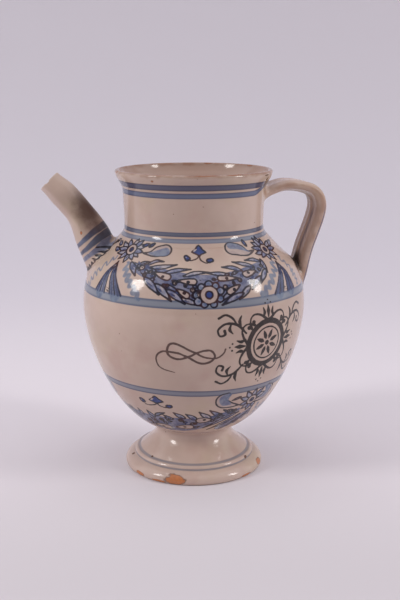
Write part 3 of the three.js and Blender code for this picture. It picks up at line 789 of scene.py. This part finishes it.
def medallion():
    """A ring with a daisy inside, budded scrolls round it and a leafy spray to each side."""
    whole = np.linspace(0, 360, 49)
    draw("brown", about(np.full(49, 15.4), whole), 1.9)
    draw("brown", about(np.full(49, 11.2), whole), 0.6)
    for petal in range(8):
        draw("brown", about(np.array([3.0, 6.0, 9.6]), np.full(3, petal * 45 + 22.5)), (0.4, 1.5, 1.2, 0.3))
    draw("brown", MEDALLION, 1.8)
    swirl = np.linspace(0, 1, 15)
    for way in (0, 90, 180, 270):
        draw("brown", about(np.array([18.0, 22.0, 26.5]), np.full(3, way)), (0.5, 1.6, 0.2))
        for hand in (-1, 1):
            stem = about(16.5 + 9.5 * np.sin(swirl * 2.6) - 3.2 * swirl, way + hand * (4 + 46 * swirl ** 0.8))
            draw("brown", stem, (1.1, 0.9, 0.7, 0.6, 1.1))
            lobe = about(np.array([18.5, 21.5, 25.0]), way + hand * np.array([15.0, 9.0, 10.0]))
            draw("brown", lobe, (0.3, 1.3, 0.4))
            draw("brown", about(20.2, way + hand * 38), 1.5)
        for spread in (-5, 0, 5):
            draw("brown", about(29.4 - abs(spread) / 3, way + spread), 0.7)
    for hand in (-1, 1):
        for up, lift in ((-1, 4.5), (1, 0)):
            def at(*points):
                return MEDALLION + (np.array(points) + (0, lift)) * (hand / BELLY_DEGREE, up)

            draw("brown", at((18, 9), (25, 15.5), (33, 16.5), (38, 12.5), (36.5, 8.5), (33, 9.5), (33.6, 12)),
                 (0.7, 1.0, 0.9, 0.8, 0.7, 1.0))
            draw("brown", at((25, 15.2), (28, 20), (33, 22.5), (37.5, 20.5)), (0.5, 0.9, 0.7, 0.9))
            draw("brown", at((22, 13.5), (23, 18), (21.5, 21.5)), (0.5, 1.3, 0.3))
            draw("brown", at((29, 16.4), (30, 12.4), (27.5, 9.4)), (0.4, 1.2, 0.3))


# The border round the spout's root, on the pot and on the root's flare
BORDER_BAND = ((-90, 153.6), (-85.6, 155.0), (-82.0, 158.4), (-80.1, 161.3), (-79.4, 164.1), (-79.4, 166.6),
               (-80.4, 168.4), (-82.0, 170.3), (-85.2, 171.7))
BORDER_CURLS = ((-88, 148.4), (-83.8, 149.6), (-80.4, 152.1), (-78.8, 155.3), (-78.3, 158.6), (-77.3, 162.0),
                (-77.5, 165.0), (-78.7, 167.8), (-76.5, 169.7), (-71.6, 171.8))


def spout_border():
    """Curls outside a blue band, the same on both sides of the spout."""
    flat = np.array([PER_DEGREE, PER_RISE])
    line = smooth(BORDER_CURLS, 11)
    ahead = np.gradient(line, axis=0) * flat
    ahead /= np.linalg.norm(ahead, axis=1)[:, None]
    for side in (1, -1):
        def mirrored(points):
            return (np.array(points) + (90, 0)) * (side, 1) - (90, 0)

        draw("border", mirrored(BORDER_BAND), (1.2, 1.7, 1.5, 1.7, 1.2))
        for centre, way in zip(line, ahead):
            across = np.array([way[1], -way[0]])
            curl = [centre + (way * a + across * b) / flat
                    for a, b in ((-1.6, -1.5), (-1.9, 0.6), (-0.2, 1.7), (1.3, 0.7), (0.8, -0.7))]
            draw("ink", mirrored(shaken(curl, 0.15)), (0.8, 1.0, 0.7))
            draw("ink", mirrored(centre + way * 2.4 / flat), 0.85)


for half_turn in (0, 180):
    upper_festoon(half_turn)
for third_turn in (0, 120, 240):
    lower_festoon(third_turn)
draw("knot", np.reshape(KNOT, (-1, 2)), (0.4, 0.7, 0.85, 0.75, 0.85, 0.75, 0.6))
medallion()
spout_border()


def select_parts(kind, parts, wanted):
    """Selects the wanted faces or edges of the active piece, and leaves edit mode on."""
    bpy.ops.object.mode_set(mode="EDIT")
    bpy.ops.mesh.select_mode(type=kind)
    bpy.ops.mesh.select_all(action="DESELECT")
    bpy.ops.object.mode_set(mode="OBJECT")
    for part in parts:
        part.select = wanted(part)
    bpy.ops.object.mode_set(mode="EDIT")


def finer(near, cuts, *limits):
    """Cuts up the body's faces close to painted lines.
    The limits are (middle, reach) of the angle in degrees and of the height."""
    canvas = Canvas(body)
    lines = np.full(len(body.data.vertices), FAR)
    for values in canvas.layers.values():
        lines[canvas.skin] = np.minimum(lines[canvas.skin], np.abs(values))
    angle, height, _ = places(body)
    chosen = lines < near
    for values, (middle, reach) in zip((np.degrees(angle), height), limits):
        chosen &= np.abs(values - middle) < reach
    bpy.ops.object.select_all(action="DESELECT")
    body.select_set(True)
    bpy.context.view_layer.objects.active = body
    select_parts("FACE", body.data.polygons, lambda face: any(chosen[i] for i in face.vertices))
    bpy.ops.mesh.subdivide(number_cuts=cuts)
    bpy.ops.object.mode_set(mode="OBJECT")


ALL_ROUND = (0, 180)
finer(1.0, 3, (22, 60), (108.5, 27.5))
finer(0.8, 1, ALL_ROUND, (50, 29))
finer(0.8, 1, ALL_ROUND, (155, 20))
outline_map(body, body_outline)
mark_outer(body, body_skin)
body_canvas, neck_canvas, spout_canvas = Canvas(body), Canvas(neck), Canvas(spout)
for painted_skin in (body_canvas, neck_canvas, spout_canvas):
    painted_skin.save()


# Materials

def srgb(*levels):
    """A colour as the shaders take it, from levels of 0 to 255 as a screen shows them."""
    parts = [level / 255 for level in levels]
    return tuple(p / 12.92 if p <= 0.04045 else ((p + 0.055) / 1.055) ** 2.4 for p in parts) + (1,)


class Wire:
    """A node's output that takes part in sums: each sum adds its Math nodes."""

    def __init__(self, recipe, socket):
        self.recipe = recipe
        self.socket = socket

    def math(self, operation, *values, clamp=False):
        return self.recipe.node("ShaderNodeMath", {"operation": operation, "use_clamp": clamp},
                                (self,) + values)

    def __add__(self, other):
        return self.math("ADD", other)

    def __sub__(self, other):
        return self.math("SUBTRACT", other)

    def __mul__(self, other):
        return self.math("MULTIPLY", other)

    def __rsub__(self, other):
        return self.recipe.node("ShaderNodeMath", {"operation": "SUBTRACT"}, (other, self))

    __radd__ = __add__
    __rmul__ = __mul__


class Recipe:
    """The nodes of a material, or of the room."""

    def __init__(self, owner, place="Object"):
        self.owner = owner
        owner.use_nodes = True
        self.tree = owner.node_tree
        self.tree.nodes.clear()
        self.place = Wire(self, self.tree.nodes.new("ShaderNodeTexCoord").outputs[place])

    def node(self, kind, settings, inputs, output=0):
        """Adds a node: its settings first, then the values or links of its sockets."""
        made = self.tree.nodes.new(kind)
        for key, value in settings.items():
            setattr(made, key, value)
        pairs = inputs.items() if isinstance(inputs, dict) else enumerate(inputs)
        for key, value in pairs:
            if isinstance(value, Wire):
                self.tree.links.new(value.socket, made.inputs[key])
            else:
                made.inputs[key].default_value = value
        return Wire(self, made.outputs[output]) if len(made.outputs) else None

    def axis(self, index):
        """X, Y or Z of the place, which is in the frame's metres on a piece."""
        return self.node("ShaderNodeSeparateXYZ", {}, (self.place,), index)

    def attribute(self, name):
        """A number kept on the piece's corners."""
        return self.node("ShaderNodeAttribute", {"attribute_type": "GEOMETRY", "attribute_name": name}, {}, 2)

    def mix(self, share, first, second):
        return self.node("ShaderNodeMix", {"data_type": "RGBA"}, {0: share, 6: first, 7: second}, 2)

    def noise(self, scale, detail, roughness=0.5):
        return self.node("ShaderNodeTexNoise", {}, {
            "Vector": self.place, "Scale": scale, "Detail": detail, "Roughness": roughness})

    def within(self, value, limit, soft):
        """1 where value is under limit, 0 over it, with an edge as wide as soft."""
        return ((limit - value) * (1 / soft)).math("ADD", 0.5, clamp=True)

    def smoothly(self, value, low_end, high_end):
        """0 at low_end, 1 at high_end and a soft step between them."""
        return self.node("ShaderNodeMapRange", {"interpolation_type": "SMOOTHSTEP"}, {
            "Value": value, "From Min": low_end, "From Max": high_end})

    def near(self, point, scale=(1, 1, 1)):
        """Distance in millimetres from a point given in the frame, stretched by scale."""
        moved = self.node("ShaderNodeMapping", {"vector_type": "POINT"}, {
            "Vector": self.place,
            "Location": tuple(-p * s / MM for p, s in zip(point, scale)),
            "Scale": tuple(s / MM for s in scale)})
        return self.node("ShaderNodeVectorMath", {"operation": "LENGTH"}, (moved,), "Value")

    def finish(self, colour, roughness, height=None):
        inputs = {"Base Color": colour, "Roughness": roughness}
        if height is not None:
            inputs["Normal"] = self.node("ShaderNodeBump", {}, {
                "Strength": 1.0, "Distance": BUMP_DEPTH, "Height": height})
        shader = self.node("ShaderNodeBsdfPrincipled", {}, inputs)
        self.node("ShaderNodeOutputMaterial", {}, {"Surface": shader})
        return self.owner


WARM = (188, 165, 152)
BUMP_DEPTH = 0.05 * MM


def glaze_ground(recipe, tone):
    """Warm off-white tin glaze that drifts in tone."""
    cloud = recipe.noise(14, 4, 0.6)
    drift = recipe.noise(38, 3, 0.55)
    pale = srgb(*(min(level + 12, 255) for level in tone))
    pink = srgb(tone[0] - 4, tone[1] - 12, tone[2] - 10)
    colour = recipe.mix(recipe.smoothly(cloud, 0.35, 0.65), srgb(*tone), pale)
    colour = recipe.mix(recipe.smoothly(recipe.noise(26, 3), 0.52, 0.72) * 0.35, colour, srgb(190, 172, 140))
    return recipe.mix(recipe.smoothly(drift, 0.5, 0.75) * 0.6, colour, pink)


def pinholes(recipe, colour):
    """Tiny brown specks, few and far between."""
    cells = recipe.node("ShaderNodeTexVoronoi", {}, {"Vector": recipe.place, "Scale": 110.0})
    share = recipe.within(cells, 0.05, 0.03) * recipe.smoothly(recipe.noise(160, 1), 0.56, 0.6)
    return recipe.mix(share * 0.8, colour, srgb(96, 66, 50))


def throwing_lines(recipe):
    """A height that rises and falls along Z, as left by the thrower's fingers."""
    rings = recipe.node("ShaderNodeTexNoise", {"noise_dimensions": "1D"}, {
        "W": recipe.axis(2), "Scale": 260.0, "Detail": 2.0})
    return rings + recipe.noise(22, 2) * 1.6


def band(recipe, colour, height, half, paint, deep, opacity=0.92, lift=0.0):
    """A brushed ring at a height, in millimetres, deeper at its edges and uneven round the pot.
    Beside the handle it climbs by lift, where the brush kept clear of the strap."""
    wander = (recipe.noise(9, 1) - 0.5) * 1.6
    gap = recipe.axis(2) * (1 / MM) - height + wander
    if lift:
        gap = gap - recipe.smoothly(recipe.near(on_pot(84, height, 50)), 27, 8) * lift
    gap = gap.math("ABSOLUTE")
    streak = recipe.smoothly(recipe.noise(60, 3), 0.05, 0.3)
    tone = recipe.mix(recipe.smoothly(gap, half * 0.3, half * 0.9), srgb(*paint), srgb(*deep))
    share = recipe.within(gap, half, 0.5) * streak * recipe.attribute("outer") * opacity
    return recipe.mix(share, colour, tone)


# The brushwork from the lowest layer up: (layer, strength, softness, two tones). Lines have no tones.
PAINTS = (
    ("soft", 0.85, 0.9, (112, 126, 146), (88, 102, 130)),
    ("border", 0.85, 0.8, (112, 122, 150), (84, 96, 130)),
    ("garland", 0.95, 0.35, (126, 128, 150), (82, 90, 124)),
    ("hatch", 0.9, 0.25),
    ("leaf_a", 1, 0.3, (176, 166, 170), (126, 130, 154)),
    ("leaf_b", 1, 0.3, (158, 154, 170), (104, 110, 142)),
    ("deep", 0.88, 0.35, (66, 74, 112), (46, 54, 92)),
    ("petal", 1, 0.3, (150, 150, 166), (112, 120, 150)),
    ("cream", 1, 0.3, (186, 166, 158), (172, 152, 148)),
    ("soft_top", 0.85, 0.7, (116, 128, 150), (84, 98, 132)),
    ("blue", 1, 0.3, (58, 74, 132), (46, 58, 108)),
    ("light", 0.9, 0.35, (196, 180, 176), (180, 166, 168)),
    ("ink", 0.96, 0.25),
    ("knot", 0.92, 0.25, (60, 38, 36), (76, 48, 42)),
    ("brown", 0.97, 0.25, (20, 14, 16), (40, 28, 26)),
)
OUTLINED = ("leaf_a", "leaf_b", "petal", "cream", "blue")
OUTLINE_HALF = 0.62


def painted(recipe, colour, canvas):
    """Lays the brushwork layers over the glaze, wash by wash."""
    wobble = (recipe.noise(420, 2) - 0.5) * 0.5
    wash = recipe.smoothly(recipe.noise(230, 3, 0.6), 0.35, 0.65)
    tint = recipe.smoothly(recipe.noise(90, 2), 0.45, 0.7)
    line_colour = recipe.mix(tint, srgb(18, 16, 32), srgb(62, 30, 28))
    for name, strength, soft, *tones in PAINTS:
        if name not in canvas.layers:
            continue
        gap = recipe.attribute(name) + wobble
        tone = recipe.mix(wash, srgb(*tones[0]), srgb(*tones[1])) if tones else line_colour
        colour = recipe.mix(recipe.within(gap, 0, soft) * strength, colour, tone)
        if name in OUTLINED:
            line = recipe.within(gap.math("ABSOLUTE"), OUTLINE_HALF, 0.25)
            colour = recipe.mix(line * 0.92, colour, line_colour)
    return colour


def on_pot(angle, height, radius):
    """A place in the frame from an angle round the pot, a height and a radius."""
    a = math.radians(angle)
    return (AXIS + radius * MM * math.sin(a), -radius * MM * math.cos(a), height * MM)


def chipped(recipe, colour, spots, paint, edge=(88, 58, 44)):
    """Places where the glaze is gone: (angle, height, radius, half width, half height)."""
    ragged = (recipe.noise(210, 3, 0.6) - 0.5) * 1.3
    mottle = recipe.noise(600, 2)
    bare = recipe.mix(mottle, srgb(*paint), srgb(*(level * 0.84 for level in paint)))
    for angle, height, radius, wide, tall in spots:
        gap = recipe.near(on_pot(angle, height, radius), (1 / wide, 1 / wide, 1 / tall)) + ragged
        colour = recipe.mix(recipe.within(gap, 1.16, 0.2) * 0.8, colour, srgb(*edge))
        colour = recipe.mix(recipe.within(gap, 1, 0.16), colour, bare)
    return colour


def stains_and_shade(recipe, colour, spots, paint, opacity):
    """Soft dark patches, both real stains and painted shade: (angle, height, radius, size)."""
    cloud = (recipe.noise(90, 4, 0.6) - 0.5) * 1.2
    for angle, height, radius, size in spots:
        gap = recipe.near(on_pot(angle, height, radius), (1 / size,) * 3) + cloud
        colour = recipe.mix(recipe.smoothly(gap, 1.1, 0.2) * opacity, colour, srgb(*paint))
    return colour


# Rings as (height, half width, colour, colour at the edges), and for the neck the lift beside the handle
BAND_DEEP = (60, 70, 102)
BODY_BANDS = ((138.3, 2.8, (126, 134, 148), (80, 94, 120)), (74.3, 2.3, (122, 126, 140), (66, 78, 106)),
              (33.6, 0.8, (130, 128, 136), (110, 110, 124)))
NECK_BANDS = ((211.3, 2.1, (72, 78, 106), (48, 52, 80), 0), (205.8, 1.9, (84, 98, 128), BAND_DEEP, 4.5),
              (179.8, 1.5, (90, 98, 118), BAND_DEEP, 0), (175.6, 1.4, (120, 128, 146), (92, 102, 126), 0))
FOOT_BANDS = ((12.6, 0.35), (9.7, 0.55))

# Bare and dark places, and the painted shade by the handle's lower root, placed as chipped() and
# stains_and_shade() take them
RIM_CHIPS = ((-72, 219, 55.5, 1.6, 0.9), (168, 219.6, 55, 3.2, 0.7), (128, 219.4, 55, 3.2, 0.9),
             (-30, 215.5, 55.4, 0.9, 0.7), (8, 219.8, 54.4, 8.5, 0.5), (30, 219.8, 54.4, 6, 0.45))
RIM_SPECKS = ((67.5, 214.6, 54.8, 1.6, 1.0), (71.5, 212.4, 53.6, 1.3, 1.5), (66, 209.8, 52.2, 1.1, 1.2),
              (64, 217.6, 56, 2.6, 0.45))
RIM_STAINS = ((70, 213, 54, 5), (76, 207.5, 51, 4.5))
FOOT_CHIPS = ((-14.5, 3.6, 50.6, 7, 3.4), (72, 4.6, 50.4, 3.4, 2.4), (-50, 2.2, 51, 4, 1.2),
              (-30, 1.2, 50.8, 5, 0.9), (48, 1.4, 50.8, 4, 0.9))
FOOT_SPECKS = ((59.5, 10.6, 44.8, 1.5, 1.0), (-48.5, 12.8, 40.6, 0.8, 0.6), (-77, 8.5, 46.6, 1.4, 0.9))
SPOUT_CHIP = (-81.6, 175.4, 80.9, 0.8, 1.1)
# Painted shade in the gap where the handle's lower root meets the pot, on the pot and on the strap
BODY_ROOT_SHADE = ((86.2, 153.3, 73.3, 7), (81, 151, 74.3, 4.5), (92, 157, 71.5, 5))
HANDLE_ROOT_SHADE = ((98.3, 153.5, 76, 8), (96, 149, 75.5, 7), (93.5, 145.5, 76, 4.5))
HANDLE_TOP_STAIN = (80, 205, 51, 3.5)
TERRACOTTA = (206, 130, 84)

# The spout's stripes as (place along the stripes' axis, half width at the thin side, at the wide side)
STRIPE_AXIS = (-0.63, 0.133, 0.765)
STRIPES = ((178.0, 1.5, 2.6), (172.2, 1.1, 2.8))
# The handle's lines as (share of the way round the strap, half width as a share, strength)
HANDLE_LINES = ((0.445, 0.015, 0.9), (0.105, 0.012, 0.85), (0.7, 0.014, 0.5))


def body_coat(recipe, colour):
    for height, half, paint, deep in BODY_BANDS:
        colour = band(recipe, colour, height, half, paint, deep)
    colour = painted(recipe, colour, body_canvas)
    # Painted shade on the pot beside the handle's lower root
    colour = stains_and_shade(recipe, colour, BODY_ROOT_SHADE, (50, 34, 28), 0.95)
    return colour


def neck_coat(recipe, colour):
    for height, half, paint, deep, lift in NECK_BANDS:
        colour = band(recipe, colour, height, half, paint, deep, lift=lift)
    bore = recipe.mix(recipe.noise(50, 3), srgb(170, 140, 128), srgb(182, 156, 142))
    colour = recipe.mix(recipe.attribute("outer"), bore, colour)
    colour = painted(recipe, colour, neck_canvas)
    crest = recipe.smoothly(recipe.axis(2) + recipe.noise(160, 3) * (3 * MM), 218.6 * MM, 221.4 * MM)
    worn = recipe.smoothly(recipe.noise(55, 5, 0.7), 0.42, 0.6)
    colour = recipe.mix(crest * 0.6, colour, srgb(160, 134, 120))
    colour = recipe.mix(crest * worn * 0.6, colour, srgb(146, 100, 74))
    colour = chipped(recipe, colour, RIM_CHIPS, (164, 112, 82), (126, 92, 74))
    colour = chipped(recipe, colour, RIM_SPECKS, (104, 78, 46), (60, 42, 34))
    colour = stains_and_shade(recipe, colour, RIM_STAINS, (158, 128, 84), 0.75)
    return colour


def foot_coat(recipe, colour):
    for height, half in FOOT_BANDS:
        colour = band(recipe, colour, height, half, (142, 138, 144), (118, 118, 128), 0.9)
    colour = chipped(recipe, colour, FOOT_CHIPS, TERRACOTTA)
    colour = chipped(recipe, colour, FOOT_SPECKS, (110, 74, 54))
    edge = recipe.within(recipe.axis(2) + recipe.noise(120, 2) * (1.2 * MM), 1.2 * MM, 0.5 * MM)
    colour = recipe.mix(edge * 0.8, colour, srgb(150, 112, 90))
    return colour


def spout_coat(recipe, colour):
    up_spout = recipe.node("ShaderNodeVectorMath", {"operation": "DOT_PRODUCT"}, {
        0: recipe.place, 1: STRIPE_AXIS}, "Value") * (1 / MM) - AXIS * STRIPE_AXIS[0] / MM
    up_spout = up_spout + (recipe.noise(70, 2) - 0.5) * 2.4
    swell = recipe.smoothly(recipe.axis(0) * (1 / MM) - AXIS / MM, -84.0, -64.0)
    for centre, thin, wide in STRIPES:
        gap = (up_spout - centre).math("ABSOLUTE") - swell * (wide - thin)
        streak = recipe.smoothly(recipe.noise(120, 3), 0.35, 0.65)
        tone = recipe.mix(streak, srgb(54, 66, 98), srgb(90, 104, 134))
        tone = recipe.mix(swell * 0.6, tone, srgb(34, 38, 56))
        colour = recipe.mix(recipe.within(gap, thin, 0.7) * 0.92, colour, tone)
    colour = painted(recipe, colour, spout_canvas)
    # A painted dark reflection on the upper side, halfway along
    off_side = ((recipe.attribute("round_share") - 0.64) * 4.8).math("POWER", 2)
    off_middle = ((recipe.attribute("along") * (1 / MM) - 31) * (1 / 20)).math("POWER", 2)
    patch = (off_side + off_middle).math("SQRT")
    painted_reflection = recipe.smoothly(patch + (recipe.noise(80, 4, 0.6) - 0.5) * 0.9, 1.1, 0.25)
    colour = recipe.mix(painted_reflection * 0.9, colour, srgb(88, 60, 50))
    colour = chipped(recipe, colour, (SPOUT_CHIP,), (196, 122, 82))
    return colour


def handle_coat(recipe, colour):
    round_share = recipe.attribute("round_share")
    drift = (recipe.noise(45, 2) - 0.5) * 0.03
    front_edge = recipe.smoothly(((round_share - 0.47) + drift).math("ABSOLUTE"), 0.1, 0.02)
    warm = front_edge * recipe.smoothly(recipe.noise(60, 3), 0.35, 0.6) * 0.6
    colour = recipe.mix(warm, colour, srgb(158, 118, 96))
    beyond_top = recipe.smoothly(recipe.attribute("along") * (1 / MM), 50, 66)
    for place, half, strength in HANDLE_LINES:
        line = ((round_share - place) + drift).math("ABSOLUTE")
        share = recipe.within(line, half, 0.006) * beyond_top * strength
        colour = recipe.mix(share, colour, srgb(66, 76, 108))
    # Painted shade on the strap where its lower root meets the pot
    colour = stains_and_shade(recipe, colour, HANDLE_ROOT_SHADE, (54, 36, 28), 0.95)
    colour = stains_and_shade(recipe, colour, (HANDLE_TOP_STAIN,), (150, 112, 82), 0.7)
    return colour


for piece, coat, name, tone, roughness, nodes, slot in (
    (foot, foot_coat, "foot_glaze_painted", (192, 168, 156), 0.14, ("foot", "foot_lute"), "foot_glaze"),
    (body, body_coat, "tin_glaze_painted", WARM, 0.12, ("body",), "tin_glaze"),
    (neck, neck_coat, "neck_glaze", WARM, 0.12, ("neck", "neck_lute"), "tin_glaze"),
    (spout, spout_coat, "spout_glaze", WARM, 0.34, ("spout", "spout_lute"), "tin_glaze"),
    (handle, handle_coat, "handle_glaze", (190, 165, 151), 0.2,
     ("handle", "handle_upper_lute", "handle_lower_lute"), "tin_glaze"),
):
    recipe = Recipe(bpy.data.materials.new(name))
    colour = pinholes(recipe, coat(recipe, glaze_ground(recipe, tone)))
    piece.data.materials.append(recipe.finish(colour, roughness, throwing_lines(recipe)))
    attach(piece, "root")
    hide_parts(*nodes)


# Stage, lamps and camera

PAPER_SIZE, PAPER_Y, WALL_HEIGHT, SWEEP_BEND = 6, -1.6, 2.5, 0.9


def paper_sweep():
    """A sheet of paper that lies under the pot and curves up behind it."""
    bpy.ops.object.select_all(action="DESELECT")
    bpy.ops.mesh.primitive_plane_add(size=PAPER_SIZE, location=(0, PAPER_Y, 0))
    sheet = bpy.context.object
    sheet.name = "stage_floor"

    def select_back():
        """Selects the lying sheet's back edge."""
        corners = sheet.data.vertices
        select_parts("EDGE", sheet.data.edges, lambda edge: all(
            corners[i].co.y > 1 and corners[i].co.z < 0.01 for i in edge.vertices))

    select_back()
    bpy.ops.mesh.extrude_region_move(TRANSFORM_OT_translate={"value": (0, 0, WALL_HEIGHT)})
    select_back()
    bpy.ops.mesh.bevel(offset=SWEEP_BEND, segments=24)
    bpy.ops.object.mode_set(mode="OBJECT")
    bpy.ops.object.shade_smooth_by_angle(angle=SMOOTH_ANGLE)
    return sheet


def backdrop_paper():
    """Pale paper with painted shade: a little darker towards the front and up the wall, as the photograph has
    it.
    """
    recipe = Recipe(bpy.data.materials.new("backdrop_paper"))
    depth = recipe.axis(1) + PAPER_Y
    tone = recipe.mix(recipe.smoothly(depth, -0.2, 0.02), srgb(210, 204, 209), srgb(231, 225, 231))
    tone = recipe.mix(recipe.smoothly(depth, 0.15, 0.8), tone, srgb(221, 216, 225))
    return recipe.finish(tone, 0.9)


floor = paper_sweep()
floor.data.materials.append(backdrop_paper())


LAMP_DISTANCE, LAMP_AIM = 2.2, 0.12


def lamp(name, azimuth, elevation, width, height, power):
    """A tall oval softbox that looks at the pot. Azimuth runs from the front towards the handle."""
    a, e = math.radians(azimuth), math.radians(elevation)
    level = LAMP_DISTANCE * math.cos(e)
    spot = (AXIS + level * math.sin(a), -level * math.cos(a), LAMP_AIM + LAMP_DISTANCE * math.sin(e))
    bpy.ops.object.light_add(type="AREA", location=spot, rotation=(math.pi / 2 - e, 0, a))
    light = bpy.context.object
    light.name = name
    light.data.shape = "ELLIPSE"
    light.data.size = width
    light.data.size_y = height
    light.data.energy = power
    light.data.color = (1, 0.98, 0.96)


def studio_room():
    """A dim room in front of the pot that grows into a bright one behind it."""
    recipe = Recipe(bpy.data.worlds.new("studio"), "Generated")
    behind = recipe.node("ShaderNodeMapRange", {}, {
        "Value": recipe.axis(1), "From Min": -1.0, "From Max": 0.1})
    light = recipe.mix(behind, (0.08, 0.066, 0.056, 1), (1.07, 1.05, 1.1, 1))
    glow = recipe.node("ShaderNodeBackground", {}, {"Color": light})
    recipe.node("ShaderNodeOutputWorld", {}, {"Surface": glow})
    return recipe.owner


lamp("lamp_left", -66, 30.5, 0.54, 0.84, 15)
lamp("lamp_right", 72, 27, 0.46, 0.86, 12.5)

# The camera stands straight in front of the pot's axis, and looks a little down
CAMERA_AWAY, CAMERA_HEIGHT, CAMERA_DOWN = 672.7 * MM, 277.6 * MM, 12.86
PICTURE_HEIGHT, AXIS_LEFT_OF_MIDDLE = 600, 6.19

bpy.ops.object.camera_add(location=(AXIS, -CAMERA_AWAY, CAMERA_HEIGHT),
                          rotation=(math.radians(90 - CAMERA_DOWN), 0, 0))
camera = bpy.context.object
camera.data.lens = 56.4
camera.data.sensor_width = 36
camera.data.shift_x = AXIS_LEFT_OF_MIDDLE / PICTURE_HEIGHT
scene = bpy.context.scene
scene.world = studio_room()
scene.camera = camera
scene.view_settings.view_transform = "Standard"
